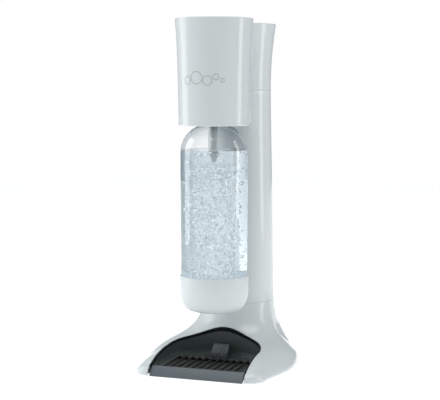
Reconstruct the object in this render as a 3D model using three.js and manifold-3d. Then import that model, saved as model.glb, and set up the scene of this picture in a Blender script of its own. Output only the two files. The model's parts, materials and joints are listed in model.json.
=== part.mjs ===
// Soda carbonator: a table-top machine that puts gas into a one-litre bottle of water.
// A round tower holds the gas cylinder, a bridge carries the round head, and the bottle hangs
// from the head over a flared base with a drip tray. Millimetres, +Z up, front towards -Y.
// The origin is on the table, under the middle of the base.

import * as THREE from "three";
import { mergeVertices } from "three/addons/utils/BufferGeometryUtils.js";
import Module from "manifold-3d";

const wasm = await Module();
wasm.setup();

// ---------------------------------------------------------------- overall sizes
const baseWidth = 194;
const axisSpacing = 105;      // bottle axis to tower axis
const toeReach = 75;          // bottle axis to the front of the base
const heelReach = 60;         // tower axis to the back of the base
const headTop = 438;
const towerTop = 436;
const gap = 0.3;              // left between neighbouring pieces
const slideGap = 0.8;         // left round a piece that slides

const baseDepth = toeReach + axisSpacing + heelReach;
const bottleY = toeReach - baseDepth / 2;
const towerY = bottleY + axisSpacing;

// ---------------------------------------------------------------- base
const footHeight = 1.3;
const footRadius = 8;
const plateThickness = 2;
const plateBottom = footHeight + gap;
const plateTop = plateBottom + plateThickness;
const plateInset = 9;
const shellWall = 2.4;
const shellBottom = 0.8;      // lower edge of the base shell above the table
const edgeHeight = 10;         // height of the widest line of the base
const edgeRound = [            // rounding of the edge: how far in, and how high
  [4.5, 10], [1.6, 6.4], [0, 2.4], [1, 0.8],
];
const toeFlat = 55;           // half width of the straight front
const toeCorner = [84.5, bottleY - 43];
const toeCornerPull = [19, 24];  // how strongly the corner turns, along the front and the side
const widestY = bottleY + 24;
const flarePull = [3.6, 19];  // how the side leaves the toe's corner
const widestPull = 28;
const rearPull = 61;
const rearSquare = 0.72;      // 0 for a pointed rear end, 1 for a square one
const columnSeam = 71.5;      // joint between base and column
const shoulderHeight = 32;    // height that the long front slope would reach at the column
const blendReach = 60;        // how far out the column's foot blends into the front slope
const blendPower = 3.9;
const slopePower = 3;
const footPower = 8.3;        // how tightly the column's foot turns out at the sides
const rearStraight = 0.75;    // share of the height that falls in a straight line, at the rear
const sideStraight = 0.44;    // the same at the sides
const rearTurn = -0.5;        // directions, from -1 at the rear to 1 at the front, where one
const sideTurn = 0.1;         // shape of flank gives way to the next
const frontTurn = 0.75;

// ---------------------------------------------------------------- recess, tray and grille
const recessHalfWidth = 62.5;
const recessStraightEnd = bottleY - 12;
const recessCurvePull = 31;   // how far the sides run on before the back wall turns across
const recessSquare = 0.7;     // 0 for a pointed back wall, 1 for a square one
const recessBack = bottleY + 42;
const linerWall = 1.8;
const linerDrop = 0.6;        // the liner's edge sits this much below the white surface
const linerFloorBottom = plateTop + gap;
const linerFloorTop = linerFloorBottom + 1.6;
const lipBottomY = bottleY - 73;
const lipTopY = bottleY - 62;
const lipThickness = 2.6;
const lipTop = 11.6;
const trayWall = 1.8;
const trayFloor = 1.6;
const trayBottom = linerFloorTop + gap;
const trayTop = 11;
const slatCount = 11;
const slatWidth = 2.2;
const grilleTop = 12.6;
const grilleDepth = 55;
const grilleBarWidth = 2.6;
const slatHeight = 3;
const slatLap = 0.5;           // how far a slat is let into the cross bars
const grilleSideRoom = 9.3;   // beside the grille, where the tray's corners round off
const tabWidth = 21;
const tabTop = 24;
const tabY = bottleY + 17;    // front of the tab
const tabDepth = 16;
const tabSlope = 9;           // fall of the tab's sloping top
const tabFlat = 6;
const tabRibs = 5;
const grooveStart = 3;        // height of the grooves above the tab's foot
const grooveDepth = 1.2;

// ---------------------------------------------------------------- tower
const towerFootRadius = 46.8;
const towerNeckRadius = 41;
const towerRimRadius = 47.6;
const towerTaperPower = 1.15;
const towerFlarePower = 2.1;
const capSeam = 350;          // joint between column and cap
const towerWall = 2.2;
const capTopThickness = 2.4;
const capDish = 2;            // how far the cap's top lies below its rim
const coverHalfWidth = 36;
const coverFront = 10;        // the cover takes the column's rear, from here back
const capBevel = 3;
const tubeSteps = 4;
const flareSteps = 5;
const coverBottom = 86;
const coverTop = 334;

// ---------------------------------------------------------------- head
const headBottom = 306.6;
const headFootRadius = 44;
const headTaper = 2.46;
const headFlare = 2.24;
const headFlarePower = 5.5;
const headWall = 2.4;

// ---------------------------------------------------------------- bridge and head pivot
const bridgeHalfWidth = 27;
const bridgeTop = 383;
const bridgeWall = 2.2;
const bridgeSlotBottom = 348;
const passageBottom = 354;     // opening in the tower cap for lever and gas pipe
const headClearance = 1.6;    // room for the head to tilt in front of the bridge
const pivotY = bottleY + 55;
const pivotZ = 374;
const pivotRadius = 3;
const pivotInnerX = 14.5;
const earInnerX = 16;
const earOuterX = 20;

// ---------------------------------------------------------------- button and lever
const buttonTravel = 7;
const buttonTop = 428;
const buttonThickness = 10;
const buttonDish = 3;
const guideBottom = 398;
const guideThickness = 4;
const stemRadius = 4;
const leverHalfWidth = 5;
const leverBottom = 373;
const leverTop = 379;
const leverTipReach = 5;      // past the bottle axis
const fulcrumY = towerY + 30;
const fulcrumZ = (leverBottom + leverTop) / 2;
const fulcrumRadius = 2.5;
const springWire = 0.7;
const springRadius = 7;
const springTurns = 4;

// ---------------------------------------------------------------- gas cylinder
const cylinderRadius = 30;
const cylinderBottom = 14;
const cylinderWall = 3;
const cylinderShoulder = 308;
const shoulderRise = 18;
const cylinderNeckRadius = 12;
const cylinderTop = 336;
const valveRadius = 10.4;
const valveTop = 360;
const valvePinRadius = 2.2;
const valvePinTop = 366;
const holderRadius = 20;
const holderBottom = 340;
const holderTop = 362.6;

// ---------------------------------------------------------------- bottle and nozzle
const bottleRadius = 42;
const bottleWall = 1;
const bottleBottom = 76;
const cupBottom = 74;
const cupRim = 119;
const cupWall = 1.1;
const cornerTop = 102;        // the rounded foot of bottle and cup ends here
const cornerFlat = 28;
const cornerPower = 2.2;
const domeStart = 272.5;
const domeRadius = 36;
const neckRadius = 18;
const flangeRadius = 19;
const flangeBottom = 324;
const flangeTop = 327.5;
const mouthRadius = 15.8;
const mouthTop = 341;
const nozzleRadius = 3.85;
const nozzleWideRadius = 4.6;
const nozzleStep = 278;
const nozzleWideEnd = 270;
const nozzleTip = 262;
const blockRadius = 26;
const blockBottom = 329.5;
const blockTop = 354;
const gasketThickness = 2.9;
const jawOuterRadius = 30;
const jawBottom = 313;
const jawTop = 321;
const collarBottom = 309;
const collarThickness = 3.4;
const collarHole = 22;
const frameThickness = 4;

const roundSegments = 30;
const fineSegments = 32;
const mediumSegments = 24;
const smallSegments = 12;
const overcut = 1;             // how far a cutting shape runs past the piece it cuts
const overrun = 10;            // the same where there is plenty of room

// ---------------------------------------------------------------- finishes
const glossWhite = { color: 0xc9d0d2, roughness: 0.15, metalness: 0 };
const cupWhite = { color: 0xe2e6e8, roughness: 0.35, metalness: 0 };
const darkPlastic = { color: 0x2c3233, roughness: 0.5, metalness: 0 };
const brownBlack = { color: 0x1d1615, roughness: 0.45, metalness: 0 };
const greySatin = { color: 0x66707a, roughness: 0.4, metalness: 0 };
const greyPlastic = { color: 0x8a9092, roughness: 0.5, metalness: 0 };
const clearPlastic = { color: 0xdbe9ee, roughness: 0.05, metalness: 0 };
const blackRubber = { color: 0x151515, roughness: 0.9, metalness: 0 };
const steel = { color: 0xb4b7ba, roughness: 0.3, metalness: 1 };
const brass = { color: 0xc0a060, roughness: 0.35, metalness: 1 };
const aluminium = { color: 0xb9bdc0, roughness: 0.35, metalness: 1 };

// ---------------------------------------------------------------- solids
function weld(geometry) {
  const bare = geometry.index ? geometry.toNonIndexed() : geometry.clone();
  bare.deleteAttribute("normal");
  bare.deleteAttribute("uv");
  return mergeVertices(bare, 1e-4);
}

function signedVolume(geometry) {
  const position = geometry.getAttribute("position");
  const corners = [new THREE.Vector3(), new THREE.Vector3(), new THREE.Vector3()];
  let volume = 0;
  for (let i = 0; i < geometry.index.count; i += 3) {
    corners.forEach((corner, k) => corner.fromBufferAttribute(position, geometry.index.getX(i + k)));
    volume += corners[0].dot(corners[1].clone().cross(corners[2])) / 6;
  }
  return volume;
}

// A manifold solid of a closed geometry, turned the right way out.
function solid(geometry) {
  const welded = weld(geometry);
  const triangles = Array.from(welded.index.array);
  const inverted = signedVolume(welded) < 0;
  const kept = [];
  for (let i = 0; i < triangles.length; i += 3) {
    const [a, b, c] = triangles.slice(i, i + 3);
    if (a !== b && b !== c && c !== a) kept.push(...(inverted ? [a, c, b] : [a, b, c]));
  }
  return new wasm.Manifold(new wasm.Mesh({
    numProp: 3,
    vertProperties: new Float32Array(welded.getAttribute("position").array),
    triVerts: new Uint32Array(kept),
  }));
}

function toGeometry(manifold) {
  const mesh = manifold.getMesh();
  const geometry = new THREE.BufferGeometry();
  geometry.setAttribute("position", new THREE.BufferAttribute(mesh.vertProperties, 3));
  geometry.setIndex(new THREE.BufferAttribute(mesh.triVerts, 1));
  geometry.computeVertexNormals();
  return geometry;
}

function add(group, name, manifold, finish) {
  const mesh = new THREE.Mesh(toGeometry(manifold), new THREE.MeshStandardMaterial(finish));
  mesh.name = name;
  group.add(mesh);
  return mesh;
}

// A turned solid about Z. Each point is [radius, z]; the outline closes on the axis or on itself.
function turned(points, segments = roundSegments) {
  const profile = points.map(([radius, z]) => new THREE.Vector2(radius, z));
  const onAxis = points[0][0] === 0;
  if (!onAxis) profile.push(profile[0].clone());
  return solid(new THREE.LatheGeometry(profile, segments).rotateX(Math.PI / 2));
}

function disc(radius, bottom, top, segments = smallSegments) {
  return turned([[0, bottom], [radius, bottom], [radius, top], [0, top]], segments);
}

function ring(inner, outer, bottom, top, segments = roundSegments) {
  return turned([[inner, bottom], [outer, bottom], [outer, top], [inner, top]], segments);
}

function block(x0, x1, y0, y1, z0, z1) {
  const geometry = new THREE.BoxGeometry(x1 - x0, y1 - y0, z1 - z0);
  return solid(geometry.translate((x0 + x1) / 2, (y0 + y1) / 2, (z0 + z1) / 2));
}

// A prism of a plan outline, standing from bottom to top.
function prism(shape, bottom, top) {
  const options = { depth: top - bottom, bevelEnabled: false, curveSegments: 12 };
  return solid(new THREE.ExtrudeGeometry(shape, options).translate(0, 0, bottom));
}

// A prism of a side outline given as [y, z] points, running along X.
function sidePrism(points, x0, x1) {
  const shape = new THREE.Shape(points.map(([y, z]) => new THREE.Vector2(y, z)));
  const geometry = new THREE.ExtrudeGeometry(shape, { depth: x1 - x0, bevelEnabled: false });
  const upright = new THREE.Matrix4().makeBasis(
    new THREE.Vector3(0, 1, 0), new THREE.Vector3(0, 0, 1), new THREE.Vector3(1, 0, 0));
  return solid(geometry.applyMatrix4(upright).translate(x0, 0, 0));
}

function rodAlongX(radius, x0, x1, y, z) {
  const geometry = new THREE.CylinderGeometry(radius, radius, x1 - x0, smallSegments);
  return solid(geometry.rotateZ(Math.PI / 2).translate((x0 + x1) / 2, y, z));
}

function tubeAlong(points, radius, steps, sides = 8) {
  const path = new THREE.CatmullRomCurve3(points.map((p) => new THREE.Vector3(...p)));
  const section = new THREE.Shape();
  for (let i = 0; i < sides; i += 1) {
    const angle = (2 * Math.PI * i) / sides;
    const corner = [radius * Math.cos(angle), radius * Math.sin(angle)];
    if (i === 0) section.moveTo(...corner);
    else section.lineTo(...corner);
  }
  return solid(new THREE.ExtrudeGeometry(section, { steps, extrudePath: path }));
}

function steps(from, to, count) {
  return Array.from({ length: count + 1 }, (_, i) => from + ((to - from) * i) / count);
}

// ---------------------------------------------------------------- shared surfaces
function towerRadius(z) {
  if (z <= capSeam) {
    const down = (capSeam - z) / (capSeam - columnSeam);
    return towerNeckRadius + (towerFootRadius - towerNeckRadius) * down ** towerTaperPower;
  }
  const up = (z - capSeam) / (towerTop - capSeam);
  return towerNeckRadius + (towerRimRadius - towerNeckRadius) * up ** towerFlarePower;
}

function headRadius(z) {
  const up = Math.max(0, (z - headBottom) / (headTop - headBottom));
  return headFootRadius + headTaper * up + headFlare * up ** headFlarePower;
}

function surface(radiusAt, heights, offset) {
  return heights.map((z) => [radiusAt(z) + offset, z]);
}

// A tube with the outer surface radiusAt and a wall inside it.
function tubeShell(radiusAt, bottom, top, wall, count) {
  const inner = surface(radiusAt, steps(top, bottom, count), -wall);
  return turned([...surface(radiusAt, steps(bottom, top, count), 0), ...inner]);
}

function filled(radiusAt, bottom, top, offset, count) {
  return turned([[0, bottom], ...surface(radiusAt, steps(bottom, top, count), offset), [0, top]]);
}

// The rounded foot shared by bottle and cup: a superellipse from the flat bottom to the side.
function roundedFoot(flat, radius, bottom, top, count) {
  return steps(0, 1, count).map((share) => {
    const lift = 1 - Math.cos((share * Math.PI) / 2);
    const reach = (1 - (1 - lift) ** cornerPower) ** (1 / cornerPower);
    return [flat + (radius - flat) * reach, bottom + (top - bottom) * lift];
  });
}

function domeArc(radius, count) {
  const centre = bottleRadius - domeRadius;
  const last = Math.acos((neckRadius - centre) / domeRadius);
  return steps(0, last, count).map((angle) => [
    centre + radius * Math.cos(angle), domeStart + radius * Math.sin(angle)]);
}

// ---------------------------------------------------------------- base outline and surface
function baseOutline() {
  const half = baseWidth / 2;
  const front = -baseDepth / 2;
  const rear = baseDepth / 2;
  const shape = new THREE.Shape();
  shape.moveTo(0, front);
  const [cornerX, cornerY] = toeCorner;
  const turn = [toeFlat + toeCornerPull[0], cornerX - 1, cornerY - toeCornerPull[1]];
  const flare = [cornerX + flarePull[0], cornerY + flarePull[1]];
  const square = half * rearSquare;
  shape.lineTo(toeFlat, front);
  shape.bezierCurveTo(turn[0], front, turn[1], turn[2], cornerX, cornerY);
  shape.bezierCurveTo(...flare, half, widestY - widestPull, half, widestY);
  shape.bezierCurveTo(half, widestY + rearPull, square, rear, 0, rear);
  shape.bezierCurveTo(-square, rear, -half, widestY + rearPull, -half, widestY);
  shape.bezierCurveTo(-half, widestY - widestPull, -flare[0], flare[1], -cornerX, cornerY);
  shape.bezierCurveTo(-turn[1], turn[2], -turn[0], front, -toeFlat, front);
  shape.lineTo(0, front);
  return shape;
}

const outlineColumns = 48;
const rowCrowding = 1.7;      // above 1, the rows crowd towards the column's foot
const outlinePoints = baseOutline().getSpacedPoints(outlineColumns).slice(0, outlineColumns);

function outlineInset(inset) {
  return outlinePoints.map((point, i) => {
    const before = outlinePoints[(i + outlineColumns - 1) % outlineColumns];
    const after = outlinePoints[(i + 1) % outlineColumns];
    const along = after.clone().sub(before).normalize();
    return new THREE.Vector2(point.x - along.y * inset, point.y + along.x * inset);
  });
}

// Height of the base's surface, reach millimetres out from the column's foot, on a line that is
// span millimetres long from the foot to the rounded edge. Forward is 1 for a line towards the
// front, 0 for one to the side and -1 for one to the rear.
function slopeHeight(reach, span, forward) {
  const { lerp, smoothstep } = THREE.MathUtils;
  const share = reach / span;
  const straight = lerp(rearStraight, sideStraight, smoothstep(forward, rearTurn, sideTurn));
  const turn = (1 - straight) * (1 - share) ** footPower;
  const side = edgeHeight + (columnSeam - edgeHeight) * (straight * (1 - share) + turn);
  const slope = edgeHeight + (shoulderHeight - edgeHeight) * (1 - share ** slopePower);
  const blend = Math.max(0, 1 - reach / blendReach) ** blendPower;
  const long = slope + (columnSeam - shoulderHeight) * blend;
  return lerp(side, long, smoothstep(forward, sideTurn, frontTurn));
}

// The filled body of the base, inset by a wall on every side.
function baseBody(inset, bottom, top, rows) {
  const centre = new THREE.Vector2(0, towerY);
  const rim = outlineInset(inset + edgeRound[0][0]);
  const foot = rim.map((p) => p.clone().sub(centre).setLength(towerFootRadius - inset).add(centre));
  const rings = [foot.map((p) => [p.x, p.y, top])];
  for (const share of steps(0, 1, rows)) {
    rings.push(rim.map((p, i) => {
      const place = foot[i].clone().lerp(p, share ** rowCrowding);
      const span = foot[i].distanceTo(p);
      const forward = (foot[i].y - p.y) / span;
      return [place.x, place.y, slopeHeight(place.distanceTo(foot[i]), span, forward) - inset];
    }));
  }
  const edge = edgeRound.slice(1, -1).map(([reach, height]) => [reach, height - inset / 2]);
  for (const [reach, height] of [...edge, [edgeRound.at(-1)[0], bottom]]) {
    rings.push(outlineInset(inset + reach).map((p) => [p.x, p.y, height]));
  }
  if (top <= columnSeam) rings.shift();
  const positions = rings.flat(2);
  const last = positions.length / 3;
  positions.push(0, towerY, rings[0][0][2], 0, towerY, bottom);
  const index = [];
  const at = (row, column) => row * outlineColumns + (column % outlineColumns);
  for (let column = 0; column < outlineColumns; column += 1) {
    index.push(last, at(0, column), at(0, column + 1));
    index.push(last + 1, at(rings.length - 1, column + 1), at(rings.length - 1, column));
    for (let row = 0; row + 1 < rings.length; row += 1) {
      index.push(at(row, column), at(row + 1, column), at(row + 1, column + 1));
      index.push(at(row, column), at(row + 1, column + 1), at(row, column + 1));
    }
  }
  const geometry = new THREE.BufferGeometry();
  geometry.setAttribute("position", new THREE.Float32BufferAttribute(positions, 3));
  geometry.setIndex(index);
  return solid(geometry);
}

// The U-shaped plan of the recess, inset by a given amount, open towards front.
function recessOutline(inset, front, back = recessBack - inset) {
  const half = recessHalfWidth - inset;
  const shape = new THREE.Shape();
  shape.moveTo(-half, front);
  shape.lineTo(half, front);
  shape.lineTo(half, recessStraightEnd);
  const pull = recessStraightEnd + recessCurvePull;
  shape.bezierCurveTo(half, pull, half * recessSquare, back, 0, back);
  shape.bezierCurveTo(-half * recessSquare, back, -half, pull, -half, recessStraightEnd);
  shape.lineTo(-half, front);
  return shape;
}

const carbonator = new THREE.Group();
const tower = new THREE.Group();
const head = new THREE.Group();
tower.position.y = towerY;
head.position.y = bottleY;
carbonator.add(tower, head);

// ---------------------------------------------------------------- base pieces
const beyondFront = -baseDepth / 2 - 2 * overrun;
const shellSteps = 9;
const cavitySteps = 7;
const frontFoot = { x: 72, y: bottleY - 50 };
const rearFoot = { x: 48, y: towerY + 18 };
const frontScrew = { x: 70, y: bottleY - 20 };
const rearScrew = { x: 22, y: towerY + 36 };
const screwHeadRadius = 3.6;
const screwShankRadius = 1.8;
const screwHeadHeight = 1.2;
const screwLength = 7;
const sliver = 0.1;            // keeps a cutting face off the face of its piece

function corners(front, rear) {
  return [
    ["front_left", -front.x, front.y], ["front_right", front.x, front.y],
    ["rear_left", -rear.x, rear.y], ["rear_right", rear.x, rear.y],
  ];
}

function buildBase() {
  const outer = baseBody(0, shellBottom, columnSeam, shellSteps);
  const cavity = baseBody(shellWall, -overrun, columnSeam + overrun, cavitySteps);
  const recess = prism(recessOutline(0, beyondFront), -overrun, columnSeam + overrun);
  const shell = outer.subtract(cavity).subtract(recess);
  add(carbonator, "base_shell", shell, glossWhite);

  const linerSkin = prism(recessOutline(gap, beyondFront), linerFloorBottom, columnSeam);
  const linerRoom = prism(recessOutline(gap + linerWall, beyondFront - overcut), linerFloorTop,
    columnSeam + overcut);
  const under = outer.translate([0, 0, -linerDrop]);
  const linerMouth = recessHalfWidth - linerWall - overcut;
  const linerFront = block(-linerMouth, linerMouth, beyondFront - overrun, lipTopY + lipThickness + gap,
    0, linerFloorTop + sliver);
  add(carbonator, "recess_liner", linerSkin.subtract(linerRoom).intersect(under).subtract(linerFront),
    darkPlastic);

  const plateShape = new THREE.Shape(outlineInset(plateInset));
  let plate = prism(plateShape, plateBottom, plateTop);
  plate = plate.subtract(block(-baseWidth, baseWidth, beyondFront, lipTopY + lipThickness + gap,
    0, plateTop + overrun));
  for (const [, x, y] of corners(frontScrew, rearScrew)) {
    plate = plate.subtract(disc(screwShankRadius + gap, plateBottom - overcut, plateTop + overcut)
      .translate([x, y, 0]));
  }
  add(carbonator, "base_plate", plate, darkPlastic);

  for (const [corner, x, y] of corners(frontFoot, rearFoot)) {
    add(carbonator, `foot_${corner}`, disc(footRadius, 0, footHeight, mediumSegments), blackRubber)
      .position.set(x, y, 0);
  }
  for (const [corner, x, y] of corners(frontScrew, rearScrew)) {
    const top = plateBottom - gap;
    const screw = turned([
      [0, top - screwHeadHeight], [screwHeadRadius, top - screwHeadHeight], [screwHeadRadius, top],
      [screwShankRadius, top], [screwShankRadius, top + screwLength], [0, top + screwLength],
    ], smallSegments);
    add(carbonator, `base_screw_${corner}`, screw, steel).position.set(x, y, 0);
  }
}

function buildTray() {
  const trayFront = lipTopY + lipThickness + gap;
  const inset = gap + linerWall + slideGap;
  const body = prism(recessOutline(inset, trayFront), trayBottom, trayTop);
  const room = prism(recessOutline(inset + trayWall, trayFront + trayWall), trayBottom + trayFloor,
    trayTop + overcut);
  add(carbonator, "drip_tray", body.subtract(room), darkPlastic);

  const half = recessHalfWidth - gap - linerWall - slideGap;
  const lip = sidePrism([
    [lipBottomY, shellBottom], [lipBottomY + lipThickness, shellBottom],
    [lipTopY + lipThickness, trayBottom], [lipTopY + lipThickness, lipTop], [lipTopY, lipTop],
  ], -half, half);
  add(carbonator, "tray_front", lip, greySatin);

  const grilleFront = trayFront + trayWall + slideGap;
  const grilleBack = grilleFront + grilleDepth;
  const grilleHalf = half - trayWall - slideGap - grilleSideRoom;
  const slatPitch = (2 * (grilleHalf - slatWidth)) / (slatCount - 1);
  const grilleBottom = trayBottom + trayFloor + gap;
  const slatBottom = grilleTop - slatHeight;
  let grille = block(-grilleHalf, grilleHalf, grilleFront, grilleFront + grilleBarWidth,
    grilleBottom, slatBottom + slatLap);
  grille = grille.add(block(-grilleHalf, grilleHalf, grilleBack - grilleBarWidth, grilleBack,
    grilleBottom, slatBottom + slatLap));
  for (let i = 0; i < slatCount; i += 1) {
    const x = (i - (slatCount - 1) / 2) * slatPitch;
    grille = grille.add(block(x - slatWidth / 2, x + slatWidth / 2, grilleFront, grilleBack,
      slatBottom, grilleTop));
  }
  add(carbonator, "drip_grille", grille, brownBlack);

  const tabBottom = trayBottom + trayFloor + gap;
  const slopeEnd = tabY + tabDepth - tabFlat;
  let tab = sidePrism([
    [tabY, tabBottom], [tabY + tabDepth, tabBottom], [tabY + tabDepth, tabTop],
    [slopeEnd, tabTop], [tabY, tabTop - tabSlope],
  ], -tabWidth / 2, tabWidth / 2);
  const grooveWidth = tabWidth / (2 * tabRibs - 1);
  const grooveBottom = tabBottom + grooveStart;
  for (let i = 0; i + 1 < tabRibs; i += 1) {
    const x = -tabWidth / 2 + (2 * i + 1) * grooveWidth;
    tab = tab.subtract(sidePrism([
      [tabY - overcut, grooveBottom], [tabY + grooveDepth, grooveBottom],
      [tabY + grooveDepth, tabTop - tabSlope - grooveDepth], [slopeEnd + overcut, tabTop - grooveDepth],
      [slopeEnd + overcut, tabTop + overcut], [tabY - overcut, tabTop + overcut],
    ], x, x + grooveWidth));
  }
  add(carbonator, "tray_tab", tab, darkPlastic);
}

// ---------------------------------------------------------------- tower pieces
function coverRegion(clearance) {
  return block(-coverHalfWidth + clearance, coverHalfWidth - clearance, coverFront + clearance,
    towerRimRadius + overrun, coverBottom + clearance, coverTop - clearance);
}

const railInner = cylinderRadius + 1.8;
const railThickness = 2.8;
const railHalfDepth = 9;
const frameBottom = holderTop + gap;
const frameTop = frameBottom + 2.6;
const valveHole = 8;
const cheekRoom = 2;
const cheekThickness = 4;
const cheekReach = 6;          // from the lever's pin to the edges of the cheeks
const cheekInnerX = leverHalfWidth + cheekRoom;
const cheekOuterX = cheekInnerX + cheekThickness;
const sealThickness = 1.8;
const sealWidth = 2;
const restWall = 5;
const restTop = cylinderBottom + 8;
const footDish = 3;            // how far the cylinder's base is pressed in
const footRing = [8, 3];       // the ring it stands on, measured in from its side
const footRound = 4;
const valveBevel = 2;
const pinHole = 8;             // depth of the hole for the valve's pin
const pinSink = 6;

function buildTower() {
  const columnBottom = columnSeam + gap;
  const column = tubeShell(towerRadius, columnBottom, capSeam - gap, towerWall, tubeSteps);
  add(tower, "column_shell", column.subtract(coverRegion(0)), glossWhite);
  add(tower, "rear_cover", column.intersect(coverRegion(gap)), glossWhite);

  const heights = steps(capSeam + gap, towerTop, flareSteps);
  const roof = towerTop - capDish;
  const cap = turned([
    ...surface(towerRadius, heights, 0),
    [towerRimRadius - towerWall, towerTop], [towerRimRadius - towerWall - capBevel, roof], [0, roof],
    [0, roof - capTopThickness],
    ...surface(towerRadius, steps(roof - capTopThickness, capSeam + gap, tubeSteps), -towerWall),
  ]);
  const passage = block(-pivotInnerX, pivotInnerX, -2 * towerRimRadius, 0, passageBottom,
    bridgeTop - bridgeWall);
  add(tower, "tower_cap", cap.subtract(passage), glossWhite);

  let frame = block(-railInner - railThickness, railInner + railThickness, -railHalfDepth, railHalfDepth,
    frameBottom, frameTop);
  for (const side of [-1, 1]) {
    const rail = [side * railInner, side * (railInner + railThickness)].sort((a, b) => a - b);
    frame = frame.add(block(...rail, -railHalfDepth, railHalfDepth, plateTop + gap, frameTop));
    const cheek = [side * cheekInnerX, side * cheekOuterX].sort((a, b) => a - b);
    frame = frame.add(block(...cheek, fulcrumY - towerY - cheekReach,
      fulcrumY - towerY + cheekReach, frameBottom, fulcrumZ + cheekReach));
  }
  frame = frame.add(block(-cheekOuterX, cheekOuterX, 0, fulcrumY - towerY + cheekReach,
    frameBottom, frameTop));
  frame = frame.subtract(disc(valveHole, frameBottom - overcut, frameTop + overcut));
  frame = frame.subtract(rodAlongX(fulcrumRadius + gap, -railInner, railInner,
    fulcrumY - towerY, fulcrumZ));
  add(tower, "support_frame", frame, steel);

  add(tower, "valve_holder", ring(valveRadius + gap, holderRadius, holderBottom, holderTop,
    fineSegments), aluminium);
  add(tower, "cylinder_gasket", ring(valveRadius + gap, cylinderNeckRadius + sealWidth,
    holderBottom - gap - sealThickness, holderBottom - gap, mediumSegments), blackRubber);
  const restInner = cylinderRadius + slideGap;
  const railRoom = block(-towerFootRadius, towerFootRadius, -railHalfDepth - gap, railHalfDepth + gap,
    0, restTop + overrun);
  const rest = ring(restInner, cylinderRadius + restWall, plateTop + gap, restTop, fineSegments)
    .subtract(railRoom)
    .add(ring(restInner, railInner - gap, plateTop + gap, restTop, fineSegments));
  add(tower, "cylinder_rest", rest, greyPlastic);

  const shoulder = (wall) => steps(0, Math.PI / 2, tubeSteps).map((angle) => [
    cylinderNeckRadius - wall + (cylinderRadius - cylinderNeckRadius) * Math.cos(angle),
    cylinderShoulder + (shoulderRise - wall) * Math.sin(angle)]);
  add(tower, "gas_cylinder", turned([
    [0, cylinderBottom + footDish], ...footRing.map((inset) => [cylinderRadius - inset, cylinderBottom]),
    [cylinderRadius, cylinderBottom + footRound], ...shoulder(0), [cylinderNeckRadius, cylinderTop],
    [cylinderNeckRadius - cylinderWall, cylinderTop], ...shoulder(cylinderWall).reverse(),
    [cylinderRadius - cylinderWall, cylinderBottom + 2 * footRound],
    [0, cylinderBottom + 2 * footDish + cylinderWall],
  ], mediumSegments), aluminium);
  add(tower, "cylinder_valve", turned([
    [0, cylinderTop + gap], [valveRadius, cylinderTop + gap],
    [valveRadius, valveTop - valveBevel], [valveRadius - valveBevel, valveTop],
    [valvePinRadius + gap, valveTop], [valvePinRadius + gap, valveTop - pinHole], [0, valveTop - pinHole],
  ], mediumSegments), brass);
  add(tower, "valve_pin", disc(valvePinRadius, valveTop - pinSink, valvePinTop, smallSegments), steel);
  const pinReach = cheekOuterX + cheekRoom;
  add(carbonator, "lever_pin", rodAlongX(fulcrumRadius, -pinReach, pinReach, fulcrumY, fulcrumZ), steel);
}

// ---------------------------------------------------------------- bridge, lever and gas line
const pipeX = 10.5;
const pipeRadius = 1.8;
const pipeSteps = 12;
const pipeBends = [             // gas pipe: how far in front of the tower's axis, and how high
  [holderRadius - 2, 356], [28, 358], [38, 365],
];
const swivelRadius = 4;
const pinCover = 0.8;          // bridge wall left over the ends of the pivot pins
const padRadius = 3.6;         // pad under the lever that presses the valve's pin

function buildBridge() {
  const headRoom = filled(headRadius, headBottom - overcut, bridgeTop + overcut, headClearance, tubeSteps);
  const towerRoom = filled(towerRadius, headBottom - overcut, bridgeTop + overcut, gap, tubeSteps);
  const slotHalf = bridgeHalfWidth - bridgeWall;
  const slotTop = bridgeTop - bridgeWall;
  let housing = block(-bridgeHalfWidth, bridgeHalfWidth, bottleY, towerY, headBottom, bridgeTop);
  housing = housing.subtract(headRoom.translate([0, bottleY, 0]));
  housing = housing.subtract(towerRoom.translate([0, towerY, 0]));
  housing = housing.subtract(block(-slotHalf, slotHalf, bottleY, towerY, bridgeSlotBottom, slotTop));
  const pinEnd = bridgeHalfWidth - pinCover;
  housing = housing.subtract(rodAlongX(pivotRadius + gap, -pinEnd, pinEnd, pivotY, pivotZ));
  add(carbonator, "bridge_housing", housing, glossWhite);
  add(carbonator, "pivot_pin_left",
    rodAlongX(pivotRadius, gap - pinEnd, -pivotInnerX, pivotY, pivotZ), steel);
  add(carbonator, "pivot_pin_right",
    rodAlongX(pivotRadius, pivotInnerX, pinEnd - gap, pivotY, pivotZ), steel);

  let lever = block(-leverHalfWidth, leverHalfWidth, bottleY - leverTipReach, fulcrumY + cheekReach,
    leverBottom, leverTop);
  lever = lever.add(disc(padRadius, valvePinTop + gap, leverBottom + overcut).translate([0, towerY, 0]));
  lever = lever.subtract(rodAlongX(fulcrumRadius + gap, -cheekInnerX, cheekInnerX, fulcrumY, fulcrumZ));
  add(carbonator, "carbonation_lever", lever, steel);

  add(carbonator, "gas_pipe", tubeAlong([
    ...pipeBends.map(([reach, z]) => [pipeX, towerY - reach, z]),
    [pipeX, pivotY + swivelRadius + 1, pivotZ - pipeRadius],
  ], pipeRadius, pipeSteps), brass);
}

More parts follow.
